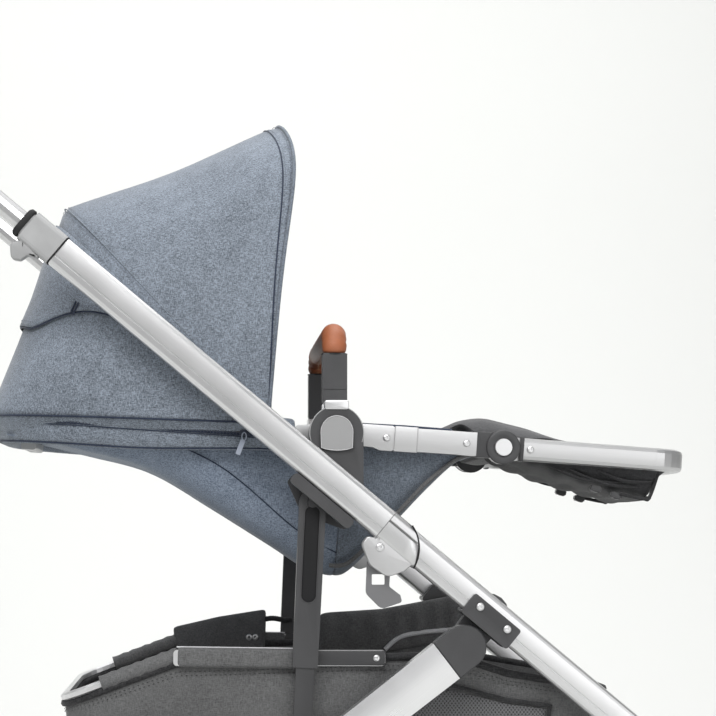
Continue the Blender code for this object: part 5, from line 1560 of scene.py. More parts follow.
def give_way(*pieces):
    """Give each piece of the tub its own copy of its mesh."""
    for made in pieces:
        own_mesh(made)


def build_basket(finishes):
    """The basket's tub, the binding along its rim, and two rows of stitches under that."""
    around = 150
    rows = []
    for j in range(15):
        rows.append([basket_point(i / around, j / 14) for i in range(around)])
    base = rows[-1]
    for shrink in (0.985, 0.95, 0.90, 0.78, 0.60, 0.40, 0.20, 0.06):
        row = []
        for point in base:
            x = BASKET_MIDDLE + (point.x - BASKET_MIDDLE) * shrink
            y = point.y * shrink
            sag = noise.noise(Vector((x * 12.0, y * 12.0, 2.0))) * 0.0024
            level = BASKET_FLOOR + 0.016 - 0.0145 * ease(1 - shrink, 0.0, 0.11) + sag
            row.append(Vector((x, y, level)))
        rows.append(row)
    shape = skin(rows, loop=True)
    cap(shape, range(len(rows) * around - around, len(rows) * around))
    tub = piece("basket_tub", shape, "chassis", finishes["charcoal"], 1, 0.0022)
    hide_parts("basket")
    rim = [basket_point(i / 300, 0.004, 0.0006) for i in range(301)]
    binding = tube(rim, 0.0046, 8, 1.0, False)
    binding = piece("basket_binding", binding, "chassis", finishes["webbing"])
    ways = [basket_corner(i / 600)[2] for i in range(601)]
    outs = [Vector((cos(way), sin(way), 0)) for way in ways]
    lines = []
    for drop in (0.060, 0.085):
        line = [basket_point(i / 600, drop, 0.0010) for i in range(601)]
        lines.append(stitches(line, outs, 0.0036, 0.0018, 0.0005))
    thread = piece("basket_stitching", merge(*lines), "chassis", finishes["thread_dark"])
    give_way(tub, binding, thread)


def side_share(x, y_side):
    """The share of the way round at which the tub's side has a given X."""
    best, where = 9.0, 0.0
    for i in range(400):
        px, py, _ = basket_corner(i / 400)
        gap = abs(px + BASKET_MIDDLE - x)
        if py * y_side > BASKET_HALF * 0.9 and gap < best:
            best, where = gap, i / 400
    return where


def build_basket_trim(finishes):
    """Mesh panels on the tub's sides, and the bound edges round them."""
    for side, y_side in SIDES.items():
        first, last = side_share(0.085 + SHIFT, y_side), side_share(0.262 + SHIFT, y_side)
        rows = []
        for i in range(31):
            share = blend_value(first, last, i / 30)
            rows.append([basket_point(share, blend_value(0.22, 0.86, j / 12), 0.0030) for j in range(13)])
        net = piece(f"basket_mesh_{side}", skin(rows), "chassis", finishes["mesh"], 0, 0.0008, 1.0)
        first, last = side_share(0.080 + SHIFT, y_side), side_share(0.267 + SHIFT, y_side)
        top, foot = 0.19, 0.89
        loop = [(blend_value(first, last, i / 24), top) for i in range(24)]
        loop += [(last, blend_value(top, foot, i / 10)) for i in range(10)]
        loop += [(blend_value(last, first, i / 24), foot) for i in range(24)]
        loop += [(first, blend_value(foot, top, i / 10)) for i in range(11)]
        edge = tube([basket_point(share, drop, 0.0034) for share, drop in loop], 0.0026, 6, 1.0, False)
        edge = piece(f"basket_mesh_edge_{side}", edge, "chassis", finishes["webbing"])
        give_way(net, edge)


def build_link_bars(finishes):
    """Dark covers over the link bars ahead of the posts, and cloth round bars and rail behind."""
    slope = atan2(0.0480, 0.1300)
    start, step, end = (-0.1690 + SHIFT, 0.3640), (-0.0300 + SHIFT, 0.3616), (0.0722 + SHIFT, 0.3610)
    for side, y_side in SIDES.items():
        cover = plate(strip(step, end, -0.0096, 0.0096, 0.0045), y_side * 0.1901, y_side * 0.1983, 0.0022)
        piece(f"link_bar_cover_{side}", cover, "chassis", finishes["dark"])
        dome = screw(Vector((0.0612 + SHIFT, y_side * 0.1982, 0.3611)), (0, y_side, 0), 0.0040)
        piece(f"link_bar_screw_{side}", dome, "chassis", finishes["button"])
        outline = strip(start, step, -0.0125, 0.0104, 0.006)
        sleeve = plate(outline, y_side * 0.1888, y_side * 0.1996, 0.0046)
        sleeve = piece(f"link_bar_sleeve_{side}", sleeve, "chassis", finishes["charcoal"])
        high = [along(point, 0.0, 0.0, 0.0106) for point in (start, step)]
        tape = tube(placed_at(y_side * 0.1945, high), 0.0010, 6)
        piece(f"link_bar_piping_{side}", tape, "chassis", finishes["silver_tape"])
        _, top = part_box("basket_rail")
        rail = (start[0] + 0.002, top.z - 0.0060)
        path = [along(rail, slope + pi, run) for run in (0.0, 0.024, 0.048, 0.072, 0.094)]
        path = placed_at(y_side * 0.1880, path)
        wrap = tube(curve_through(path, 4), lambda t: 0.0078 + 0.0006 * sin(t * 40), 12, 1.15)
        wrap = piece(f"rail_wrap_{side}", wrap, "chassis", finishes["charcoal"])


def soft_panel(line_low, line_high, y_in, y_out, ribs):
    """An upright padded panel between a lower and an upper line, quilted with upright ribs."""
    rows = []
    count = 56
    for i in range(count + 1):
        share = i / count
        low, high = value_pair(line_low, share), value_pair(line_high, share)
        end = min(ease(share, -0.02, 0.05), ease(1 - share, -0.02, 0.05))
        rib = 0.5 + 0.5 * sin(share * ribs * 2 * pi)
        row = []
        for k in range(29):
            t = pi * k / 14
            across = (1 + cos(t)) / 2
            tall = 0.5 + 0.5 * sin(t) * (0.90 + 0.10 * end)
            tall = min(max(tall, 0.0), 1.0)
            y = (y_in + y_out) / 2 + (y_out - y_in) * end * (across - 0.5)
            y -= 0.0034 * rib * (1 - across) * sin(pi * tall) * end
            y += noise.noise(Vector((share * 9.0, tall * 3.0, 2.0))) * 0.0010
            spot = low.lerp(high, tall)
            row.append(Vector((spot.x, y, spot.y)))
        rows.append(row[:-1])
    return closed_form(rows)


def value_pair(line, share):
    """A point (X, Z) at a share of the way along a short list of points."""
    place = share * (len(line) - 1)
    index = min(int(place), len(line) - 2)
    return Vector(line[index]).lerp(Vector(line[index + 1]), place - index)


def build_basket_panels(finishes):
    """The far side's flap with its snaps, and the quilted panel in front of the post."""
    low = [(-0.1796, 0.3350), (-0.1200, 0.3440), (-0.0640, 0.3470)]
    high = [(-0.1863, 0.3806), (-0.1250, 0.3945), (-0.0627, 0.4042)]
    flap = piece("basket_flap", soft_panel(low, high, 0.1790, 0.1898, 0.0), "chassis", finishes["lining"], 1)
    studs = []
    for x, z in ((-0.1621, 0.3511), (-0.0855, 0.3672), (-0.0774, 0.3672)):
        studs.append(screw(Vector((x, 0.1780, z)), (0, -1, 0), 0.0042))
    snaps = piece("basket_snaps", merge(*studs), "chassis", finishes["cast"])
    low = [(0.0080, 0.3450), (0.0900, 0.3460), (0.1500, 0.3560), (0.2050, 0.3640)]
    high = [(0.0080, 0.3990), (0.0900, 0.4040), (0.1500, 0.4150), (0.2050, 0.4250)]
    panel = soft_panel(low, high, 0.1750, 0.1880, 7.0)
    panel = piece("basket_side_pad", panel, "chassis", finishes["charcoal"], 1)
    line = curve_through([(0.0947, 0.3505), (0.1147, 0.3666), (0.1481, 0.3733), (0.1950, 0.3770)], 8)
    tape = tube(placed_at(0.1738, line), 0.0031, 8)
    tape = piece("basket_silver_piping", tape, "chassis", finishes["silver_tape"])
    line = [(blend_value(-0.0640, -0.0285, i / 24), 0.3905 + 0.0012 * sin(i / 4)) for i in range(25)]
    link = tube(placed_at(0.1840, line), lambda t: 0.0036 + 0.0010 * sin(t * 75), 10)
    link = piece("basket_elastic", link, "chassis", finishes["webbing"])
    give_way(flap, snaps, panel, tape, link)


# Wheels and small hardware.


# Each axle's tyres: the radius, half the width, and the number of tread blocks round one row.
TYRES = {"rear": (0.1335, 0.0190, 72), "front": (0.0900, 0.0160, 52)}
REAR_RADIUS = TYRES["rear"][0]
# The rows of blocks: from and to, as shares of half the width, and a row's shift round the tyre.
TREAD_ROWS = ((-0.72, -0.30, 0.5), (-0.22, 0.22, 0.0), (0.30, 0.72, 0.5))


def tread(centre, radius, half, count):
    """The raised blocks round a tyre, in three rows; the outer rows lie on its round shoulders."""
    blocks = bmesh.new()
    pitch = 2 * pi / count
    for i in range(count):
        for y_from, y_to, shift in TREAD_ROWS:
            corners = []
            for lift in (-0.0016, 0.00045):
                for reach, y in ((-0.30, y_from), (0.30, y_from), (0.38, y_to), (-0.22, y_to)):
                    turn = (i + shift + reach) * pitch
                    drop = 0.0 if abs(y) < 0.5 else 0.00315 * radius / REAR_RADIUS
                    r = radius - drop + lift - 0.0004
                    spot = (centre.x + r * cos(turn), centre.y + half * y, centre.z + r * sin(turn))
                    corners.append(blocks.verts.new(spot))
            for face in (BOX_FRONT, *BOX_SIDES):
                blocks.faces.new([corners[k] for k in face])
    return blocks


def build_wheels(finishes):
    """The tyres' treads and sidewall lines, and the caps on the rear hubs."""
    dome = [(0.0001, 0.0062), (0.0080, 0.0058), (0.0140, 0.0040)]
    dome += [(0.0165, 0.0016), (0.0170, 0.0), (0.0170, -0.0030)]
    rim = [(0.0182, -0.0026), (0.0182, 0.0006), (0.0196, 0.0012), (0.0206, 0.0), (0.0206, -0.0026)]
    for end, (radius, half, count) in TYRES.items():
        for side, y_side in SIDES.items():
            low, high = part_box(f"{end}_{side}_tyre")
            centre = (low + high) / 2
            body = f"{end}_wheel_{side}"
            blocks = tread(centre, radius, half, count)
            piece(f"{end}_tread_{side}", blocks, body, finishes["rubber"], sharp=30)
            if end == "rear":
                spot = centre + Vector((0, y_side * half, 0))
                cover = merge(*[turned(profile, spot, (0, y_side, 0), 36) for profile in (dome, rim)])
                piece(f"rear_hub_cap_{side}", cover, body, finishes["grey"])
            rings = []
            for sign in (-1, 1):
                ring = circle((centre.x, centre.z), radius - 0.0105 * radius / REAR_RADIUS, 64)
                ring = placed_at(centre.y + sign * half * 0.90, ring + ring[:1])
                rings.append(tube(ring, 0.0009, 6, 1.0, False))
            piece(f"{end}_sidewall_{side}", merge(*rings), body, finishes["rubber"])


def screw(spot, axis, radius):
    """A dome screw with a round recess."""
    dome = [(radius, -0.0006), (radius, 0.0004), (radius * 0.86, 0.0011), (radius * 0.55, 0.0015)]
    dome += [(radius * 0.46, 0.0015), (radius * 0.42, 0.0003), (0.0001, 0.0002)]
    return turned(dome, spot, axis, 24)


def collar_row(distance, y, wide, high, count=40, power=0.6):
    """A rounded oblong round the handle's tube, at a distance up from the collar's end."""
    row = []
    for i in range(count):
        turn = 2 * pi * i / count
        a = abs(cos(turn)) ** power * (1 if cos(turn) >= 0 else -1) * wide
        b = abs(sin(turn)) ** power * (1 if sin(turn) >= 0 else -1) * high
        row.append(handle_point(distance, y + a) + Vector((-sin(FRAME_ANGLE), 0, cos(FRAME_ANGLE))) * b)
    return row


def build_hardware(finishes):
    """Screws on both sides of the frame, rings at the collars, and the soft insets of the posts."""
    foot = along((0.1587 + SHIFT, 0.3760), FRAME_ANGLE, 0, 0.0490)
    plan = {
        "upper_frame": [(FOLD_PIN, 0.2389, 0.0050)],
        "chassis": [(along(foot, FRAME_ANGLE, step, -0.003), 0.2453, 0.0046) for step in (-0.0155, 0.0245)],
        "seat": [(on_seat(0.0614), 0.1761, 0.0042), (on_seat(0.1565), 0.1751, 0.0042)],
        "legrest": [(on_legrest(0.0340), 0.1651, 0.0042)],
    }
    for body, spots in plan.items():
        shapes = []
        for (x, z), face, radius in spots:
            for y_side in SIDES.values():
                shapes.append(screw(Vector((x, y_side * face, z)), (0, y_side, 0), radius))
        piece(f"screws_{body}", merge(*shapes), body, finishes["button"])
    angle = atan2(0.2300 - 0.5400, -0.0275 + 0.0135)
    inset = []
    for reach, first in ((0.012, pi / 2), (0.106, -pi / 2)):
        end = along((-0.0135 + SHIFT, 0.5400), angle, reach)
        inset += [along(end, angle + first + pi * i / 24, 0.0088) for i in range(25)]
    for side, y_side in SIDES.items():
        for name, distance, body, wide, high in (
            ("tube_lip", -0.0008, "upper_frame", 0.0106, 0.0190),
            ("collar_ring", 0.0500, f"fold_trigger_{side}", 0.0094, 0.0148),
        ):
            # Bake a piece's place into its mesh.
            ring = collar_row(distance, y_side * TUBE_MIDDLE, wide, high, 48, 0.55)
            ring = tube(ring + ring[:1], 0.0010, 6, 1.0, False)
            piece(f"{name}_{side}", ring, body, finishes["inset"])
        rim = tube(placed_at(y_side * 0.2135, inset + inset[:1]), 0.0006, 6, 1.0, False)
        piece(f"post_inset_rim_{side}", rim, f"post_{side}", finishes["dark"])
        outline = placed_at(y_side * 0.21215, inset)
        centre = sum(outline, Vector()) / len(outline)
        rows = [outline]
        for shrink, rise in ((0.90, 0.0004), (0.6, 0.0006), (0.2, 0.0006)):
            lift = Vector((0, y_side * rise, 0))
            rows.append([centre + (point - centre) * shrink + lift for point in outline])
        shape = skin(rows, loop=True)
        count = len(outline)
        cap(shape, range(3 * count, 4 * count))
        piece(f"post_inset_pad_{side}", shape, f"post_{side}", finishes["inset"])


def build_fold_joints(finishes):
    """The silver fold castings: the tube's own section up to an arc, over a lobe with the pin, with dark
    lines of painted shade along the seam and round the arc.
    """
    seam = along(FOLD_LINE, FRAME_ANGLE, -0.0420)
    high, reach = TUBE_HALF, 0.0442
    ahead = Vector((cos(FRAME_ANGLE), sin(FRAME_ANGLE)))
    up = Vector((-sin(FRAME_ANGLE), cos(FRAME_ANGLE)))
    pin = Vector(FOLD_PIN) - Vector(seam)
    pin_run, pin_rise = pin.dot(ahead), pin.dot(up)
    groove = GROOVE_RISE
    corner = [pi / 12 * i for i in range(1, 7)]
    face = [(0.2350, high)]
    face += [(0.2345 + 0.0055 * sin(t), high - 0.0055 * (1 - cos(t))) for t in corner]
    face += [(0.2400, groove + 0.0014), (0.2389, groove + 0.0008)]
    face += [(0.2389, groove - 0.0008), (0.2400, groove - 0.0014)]
    face += [(0.2345 + 0.0055 * cos(t), 0.0055 * (1 - sin(t)) - high) for t in [0.0] + corner[:-1]]
    face += [(0.2350, -high)]

    def at_pin(run, rise, *radius):
        return (*along(FOLD_PIN, FRAME_ANGLE, run, rise), *radius)

    def at_seam(run, rise, *radius):
        return (*along(seam, FRAME_ANGLE, run, rise), *radius)

    def arc_run(rise):
        return pin_run + sqrt(reach**2 - (rise - pin_rise) ** 2)

    lobe = [
        at_seam(0.001, 0.004 - high, 0.001),
        at_seam(0.001, -high - 0.0004, 0.001),
        at_pin(-0.0190, 0.001, 0.004),
        at_pin(-0.0190, -0.010, 0.008),
        at_pin(0.0040, -0.0230, 0.012),
        at_pin(0.0280, -0.0210, 0.012),
        at_pin(0.0385, -0.0040, 0.012),
        at_pin(0.0415, 0.0100, 0.002),
    ]
    bow = [at_seam(0.0003, -high), at_seam(0.0003, high)]
    for i in range(13):
        rise = high - 2 * high * i / 12
        bow.append(at_seam(arc_run(rise), rise))
    web = [
        at_seam(0.0003, high - 0.0006),
        at_seam(0.0003, -high),
        at_pin(-0.0175, -0.008),
        at_pin(-0.0105, -0.012),
        at_pin(-0.0105, 0.010),
        at_seam(0.0120, high - 0.0006),
    ]
    line = [at_seam(-0.0001, end) for end in (high + 0.0002, -high - 0.0002)]
    rises = [high * (1 - i / 8) for i in range(17)]
    arc = [at_seam(arc_run(rise) + 0.0007, rise) for rise in rises]
    for side, y_side in SIDES.items():
        rows = []
        for share in (0.0, 0.0002, 0.33, 0.66, 0.985, 1.0):
            inset = 0.0006 if share in (0.0, 1.0) else 0.0
            row = []
            for y, rise in face:
                x, z = at_seam(blend_value(0.0003, arc_run(rise), share), rise)
                row.append(Vector((x, y_side * (y - inset * (y > 0.2351)), z)))
            rows.append(row)
        inner = rounded(lobe[1:-1] + [at_pin(0.0400, 0.0120, 0.001)], 6)
        piece(f"fold_face_{side}", closed_form(rows), "upper_frame", finishes["cast_face"])
        joint = merge(
            plate(rounded(lobe, 6), y_side * 0.2350, y_side * 0.2388, 0.0014),
            plate(inner, y_side * 0.2252, y_side * 0.2200, 0.0010),
            plate(bow, y_side * 0.2252, y_side * 0.2200, 0.0010),
            plate(web, y_side * 0.2245, y_side * 0.2355, 0.0002),
        )
        joint = piece(f"fold_joint_{side}", joint, "upper_frame", finishes["cast"])
        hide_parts(f"fold_casting_{side}")
        # Painted shade: a dark line along the seam between the tube and the casting.
        path = placed_at(y_side * 0.2399, line)
        piece(f"fold_seam_shade_{side}", tube(path, 0.0006, 6), "upper_frame", finishes["groove"])
        # Painted shade: a dark line round the arc, standing in for the shadow of the casting's step.
        path = placed_at(y_side * 0.2394, arc)
        piece(f"fold_arc_shade_{side}", tube(path, 0.0011, 6), "upper_frame", finishes["inset"])


def build_groove_shade_lines(finishes):
    """Painted shade: dark lines laid in the grooves along the tubes' faces, standing in for the shadow in
    them.
    """
    lower = 0.01725 - 0.33 * 0.0345
    ends = {
        "upper_frame": ((COLLAR_END, 0.0020, GROOVE_RISE), (FOLD_LINE, -0.0010, GROOVE_RISE)),
        "chassis": ((FOLD_LINE, 0.0080, lower), (FOLD_LINE, 0.3500, lower)),
    }
    for body, pair in ends.items():
        line = [along(point, FRAME_ANGLE, run, rise) for point, run, rise in pair]
        shapes = [tube(placed_at(y_side * 0.2392, line), 0.0008, 6) for y_side in SIDES.values()]
        piece(f"groove_shade_lines_{body}", merge(*shapes), body, finishes["groove"])


def flat_ring(centre, inner, outer, y_from, y_to, y_side):
    """A flat ring with rounded edges, from one depth to another."""
    deep = abs(y_to - y_from)
    profile = [(inner, -deep), (inner, -0.0006), (inner + 0.0006, 0.0), (outer - 0.0014, 0.0)]
    profile += [(outer - 0.0004, -0.0005), (outer, -0.0014), (outer, -deep)]
    return turned(profile, Vector((centre[0], y_side * y_to, centre[1])), (0, y_side, 0), 48)


def build_hinges(finishes):
    """Dark hinge rings and yokes at the knee, silver tabs on the mounts, a painted highlight along each
    mount's edge, and the rails' sleeves.
    """
    x, z = SEAT_HUB
    for side, y_side in SIDES.items():
        start, end = on_seat(0.1685), on_seat(0.1860)
        yoke = merge(
            flat_ring(LEGREST_HINGE, 0.0104, 0.0202, 0.1745, 0.1776, y_side),
            plate(strip(start, end, -0.0152, 0.0148, 0.0010), y_side * 0.1555, y_side * 0.1750, 0.0008),
        )
        piece(f"knee_yoke_{side}", yoke, "seat", finishes["dark"])
        start, end = on_legrest(0.0215), on_legrest(0.0262)
        collar = plate(strip(start, end, -0.0146, 0.0146, 0.0008), y_side * 0.1472, y_side * 0.1650, 0.0008)
        piece(f"knee_collar_{side}", collar, "legrest", finishes["dark"])
        tab = strip((x - 0.0141, z), (x + 0.0141, z), 0.0268, 0.0377, 0.003)
        silver = plate(tab, y_side * 0.1883, y_side * 0.2181, 0.0012, 0.0012)
        piece(f"mount_tab_{side}", silver, "upper_frame", finishes["button"])
        outline = [along((x, z + 0.001), pi * i / 24, 0.0185) for i in range(25)]
        foot = (x, z + 0.0361)
        outline += [along(foot, radians(-108.5 + 37.0 * i / 10), 0.0565) for i in range(11)]
        rim = tube(placed_at(y_side * 0.2203, outline + outline[:1]), 0.0006, 6, 1.0, False)
        piece(f"button_rim_{side}", rim, f"seat_release_button_{side}", finishes["button"])
        # Painted highlight: a grey strip along the mount's raised edge, where its bevel catches the light.
        turns = [(pi + 0.70) * i / 40 - 0.35 for i in range(41)]
        path = placed_at(y_side * 0.2160, [along((x, z), turn, 0.0311) for turn in turns])
        piece(f"mount_edge_highlight_{side}", tube(path, 0.0007, 6), "upper_frame", finishes["grey"])
        lines = []
        for distance in (0.0712, 0.0978):
            ends = [on_seat(distance, -0.0151), on_seat(distance, 0.0147)]
            lines.append(tube(placed_at(y_side * 0.1752, ends), 0.0005, 6))
        piece(f"rail_sleeve_edges_{side}", merge(*lines), "seat", finishes["cast"])


def build_collars(finishes):
    """The chunky dark wiper rings above the grey collars."""
    for side, y_side in SIDES.items():
        sizes = [(0.0462, 0.0104, 0.0176), (0.0474, 0.0112, 0.0188), (0.0520, 0.0110, 0.0184)]
        sizes += [(0.0540, 0.0098, 0.0160), (0.0540, 0.0073, 0.0123), (0.0462, 0.0073, 0.0123)]
        rows = [collar_row(distance, y_side * TUBE_MIDDLE, wide, high) for distance, wide, high in sizes]
        wiper = skin(rows, loop=True, ring=True)
        piece(f"collar_wiper_{side}", wiper, f"fold_trigger_{side}", finishes["inset"])
        corners = [(-0.3685, 0.8365, 0.007), (-0.3530, 0.8385, 0.001), (-0.3350, 0.8180, 0.001)]
        corners += [(-0.3490, 0.8205, 0.004), (-0.3560, 0.8150, 0.005), (-0.3675, 0.8165, 0.007)]
        nub = plate(rounded(corners, 6), y_side * 0.2225, y_side * 0.2385, 0.0022, 0.0022)
        piece(f"collar_nub_{side}", nub, f"fold_trigger_{side}", finishes["grey"])


# The frame's own pieces, and the stage.

NODE_FINISHES = {
    "side_tube": "tube",
    "fold_casting": "cast",
    "front_leg": "tube",
    "leg_bracket": "dark",
    "seat_bracket": "dark",
    "seat_mount": "dark",
    "seat_release_button": "matt_button",
    "post": "dark",
    "fold_trigger": "grey",
    "rear_leg_cap": "dark",
    "rear_leg": "leg",
    "front_fork": "dark",
    "seat_rail": "rail",
    "legrest_button": "button",
    "swivel_socket": "dark",
    "bumper_arm": "dark",
}
SINGLE_FINISHES = {
    "handlebar_tube": "tube",
    "handle_release_button": "grey",
    "rear_axle_bar": "dark",
    "brake_pedal": "grey",
    "front_cross_bar": "dark",
    "fold_latch": "zinc",
    "recline_lever": "grey",
    "legrest_frame": "rail",
    "canopy_front_bow": "cloth_deep",
    "canopy_rear_bow": "dark",
    "basket_rail": "plain_metal",
    "harness_buckle": "dark",
}


def paint_frame(finishes):
    """Give every carried-over node of the frame its finish and softened edges."""
    chosen = dict(SINGLE_FINISHES)
    for side in SIDES:
        chosen.update({f"{stem}_{side}": finish for stem, finish in NODE_FINISHES.items()})
        for end in TYRES:
            chosen[f"{end}_{side}_rim"] = "rim"
            chosen[f"{end}_{side}_tyre"] = "rubber"
    for name, finish in chosen.items():
        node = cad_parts[name]
        node.data.materials.clear()
        node.data.materials.append(finishes[finish].material)
        node.data.shade_smooth()
        node.data.set_sharp_from_angle(angle=radians(32))


def build_floor():
    """A pale floor that curves up into a pale wall."""
    shape = bmesh.new()
    start, bend, height = 2.2, 1.6, 6.0
    turns = [pi / 2 * i / 16 for i in range(1, 17)]
    profile = [(-9.0, 0.0), (start, 0.0)]
    profile += [(start + bend * sin(turn), bend - bend * cos(turn)) for turn in turns]
    profile += [(start + bend, height)]
    rows = []
    for y, z in profile:
        rows.append([shape.verts.new((x, y, z - 0.0002)) for x in (-12.0, 0.0, 12.0)])
    for first, second in zip(rows, rows[1:]):
        for i in range(2):
            shape.faces.new((first[i], first[i + 1], second[i + 1], second[i]))
    mesh = bpy.data.meshes.new("floor")
    shape.to_mesh(mesh)
    shape.free()
    mesh.shade_smooth()
    floor = bpy.data.objects.new("floor", mesh)
    bpy.context.scene.collection.objects.link(floor)
    shader = Shader("pale_floor", None)
    shader.finish(Base_Color=(0.72, 0.725, 0.71), Roughness=0.9, Specular_IOR_Level=0.1)
    behind = shader.add("ShaderNodeNewGeometry", {}, output="Backfacing")
    clear = shader.add("ShaderNodeBsdfTransparent", {})
    seen = shader.add("ShaderNodeMixShader", {}, behind, Socket(shader, shader.surface.outputs[0]), clear)
    shader.feed(shader.nodes["Material Output"].inputs["Surface"], seen)
    mesh.materials.append(shader.material)
    floor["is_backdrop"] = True


def lamp(name, place, aim, size, power):
    """A rectangular area light at a place, turned to a point."""
    light = bpy.data.lights.new(name, "AREA")
    light.shape = "RECTANGLE"
    light.size, light.size_y = size
    light.energy = power
    made = bpy.data.objects.new(name, light)
    made.location = place
    made.rotation_euler = (Vector(aim) - Vector(place)).to_track_quat("-Z", "Y").to_euler()
    bpy.context.scene.collection.objects.link(made)


def build_lights():
    """A pale surround and four soft lights: key, fill, top and backdrop."""
    world = bpy.data.worlds.new("studio")
    world.use_nodes = True
    world.node_tree.nodes["Background"].inputs[0].default_value = (0.985, 0.99, 1.0, 1.0)
    world.node_tree.nodes["Background"].inputs[1].default_value = 0.38
    bpy.context.scene.world = world
    lamp("key", (-0.8, -2.6, 2.6), (0.0, 0.0, 0.6), (3.0, 1.4), 78)
    lamp("fill", (1.6, -3.0, 0.9), (0.0, 0.0, 0.5), (2.4, 1.4), 19)
    lamp("top", (0.0, 0.1, 3.0), (0.0, 0.0, 0.5), (2.4, 2.0), 46)
    lamp("backdrop", (0.0, 0.9, 3.0), (0.3, 3.6, 1.2), (5.0, 1.2), 92)
    bpy.context.scene.view_settings.view_transform = "Standard"


def build_camera():
    """The camera stands where the far ends of the cross pieces point."""
    pixels, pixel_size = 716, 0.00115
    near, away = -TUBE_MIDDLE, 2.46
    eye = Vector((-0.1460, near - away, 0.5083))
    aim = Vector((0.0300, near, 0.7061))
    data = bpy.data.cameras.new("camera")
    data.sensor_width = 36.0
    data.lens = data.sensor_width * away / (pixels * pixel_size) * 1.004
    data.clip_start = 0.05
    camera = bpy.data.objects.new("camera", data)
    camera.location = eye
    camera.rotation_euler = (aim - eye).to_track_quat("-Z", "Y").to_euler()
    bpy.context.scene.collection.objects.link(camera)
    bpy.context.scene.camera = camera


# The add-on: what a user may change, one operator for each group of pieces, and the panel.


class PushchairColours(bpy.types.PropertyGroup):
    """Colours of the pushchair's cloth, leather, plastic and metal."""

    cloth: FloatVectorProperty(
        name="Cloth",
        description="Middle tone of the melange cloth on the seat and the canopy",
        subtype="COLOR",
        size=3,
        min=0.0,
        max=1.0,
        default=(0.150, 0.174, 0.208),
    )
    leather: FloatVectorProperty(
        name="Leather",
        description="Tone of the leather on the bumper bar and the handlebar",
        subtype="COLOR",
        size=3,
        min=0.0,
        max=1.0,
        default=(0.36, 0.115, 0.048),
    )
    trim: FloatVectorProperty(
        name="Trim",
        description="Tone of the grey plastic on the collars, the latch and the levers",
        subtype="COLOR",
        size=3,
        min=0.0,
        max=1.0,
        default=(0.300, 0.302, 0.304),
    )
    metal: FloatVectorProperty(
        name="Metal",
        description="Tone of the anodised tubes",
        subtype="COLOR",
        size=3,
        min=0.0,
        max=1.0,
        default=(0.72, 0.72, 0.724),
    )


class PushchairSizes(bpy.types.PropertyGroup):
    """Sizes of the cloth work that do not come from the frame."""

    cloth_thickness: FloatProperty(
        name="Cloth thickness",
        description="Thickness of the canopy's cloth with its lining",
        subtype="DISTANCE",
        unit="LENGTH",
        default=0.0028,
        min=0.0006,
        max=0.005,
    )
    swell: FloatProperty(
        name="Pad swell",
        description="The most that the seat pad's cloth may swell between its seams",
        subtype="DISTANCE",
        unit="LENGTH",
        default=0.006,
        min=0.0,
        max=0.012,
    )


FINISHES = {}


def finishes_in_use():
    """The finishes, made when the first operator asks for them."""
    if not FINISHES:
        FINISHES.update(make_finishes())
    return FINISHES


class PUSHCHAIR_OT_camera(bpy.types.Operator):
    """Stand the camera at the viewing angle"""

    bl_idname = "pushchair.camera"
    bl_label = "Camera"

    def execute(self, context):
        build_camera()
        return {"FINISHED"}


class PUSHCHAIR_OT_frame(bpy.types.Operator):
    """Finish the metal and plastic pieces of the frame"""

    bl_idname = "pushchair.frame"
    bl_label = "Frame finishes"

    def execute(self, context):
        paint_frame(finishes_in_use())
        return {"FINISHED"}


class PUSHCHAIR_OT_hardware(bpy.types.Operator):
    """Make the screws, tube lips, rings and insets of the frame"""

    bl_idname = "pushchair.hardware"
    bl_label = "Screws and rings"

    def execute(self, context):
        build_hardware(finishes_in_use())
        return {"FINISHED"}


class PUSHCHAIR_OT_fold_joints(bpy.types.Operator):
    """Make the silver castings of the fold joints"""

    bl_idname = "pushchair.fold_joints"
    bl_label = "Fold joints"

    def execute(self, context):
        build_fold_joints(finishes_in_use())
        return {"FINISHED"}


class PUSHCHAIR_OT_groove_shade_lines(bpy.types.Operator):
    """Make the dark lines of painted shade in the tubes' grooves"""

    bl_idname = "pushchair.grooves"
    bl_label = "Tube grooves"

    def execute(self, context):
        build_groove_shade_lines(finishes_in_use())
        return {"FINISHED"}


class PUSHCHAIR_OT_hinges(bpy.types.Operator):
    """Make the knee hinges' rings and yokes, and the mounts' tabs"""

    bl_idname = "pushchair.hinges"
    bl_label = "Hinges and tabs"

    def execute(self, context):
        build_hinges(finishes_in_use())
        return {"FINISHED"}


class PUSHCHAIR_OT_collars(bpy.types.Operator):
    """Make the dark rings above the grey collars"""

    bl_idname = "pushchair.collars"
    bl_label = "Collar rings"

    def execute(self, context):
        build_collars(finishes_in_use())
        return {"FINISHED"}


class PUSHCHAIR_OT_wheels(bpy.types.Operator):
    """Make the tyres' treads, the sidewall lines and the hub caps"""

    bl_idname = "pushchair.wheels"
    bl_label = "Wheels"

    def execute(self, context):
        build_wheels(finishes_in_use())
        return {"FINISHED"}


class PUSHCHAIR_OT_seat_shell(bpy.types.Operator):
    """Make the seat's outer cloth with its piping and seams"""

    bl_idname = "pushchair.seat_shell"
    bl_label = "Seat shell"

    def execute(self, context):
        build_seat_shell(finishes_in_use())
        return {"FINISHED"}


class PUSHCHAIR_OT_seat_band(bpy.types.Operator):
    """Make the cloth band round the seat's tube, with its zip"""

    bl_idname = "pushchair.seat_band"
    bl_label = "Seat band"

    def execute(self, context):
        build_seat_band(finishes_in_use())
        return {"FINISHED"}


class PUSHCHAIR_OT_seat_pad(bpy.types.Operator):
    """Make the padded liner of the seat"""

    bl_idname = "pushchair.seat_pad"
    bl_label = "Seat pad"

    def execute(self, context):
        build_seat_pad(finishes_in_use(), context.scene.pushchair_sizes.swell)
        return {"FINISHED"}


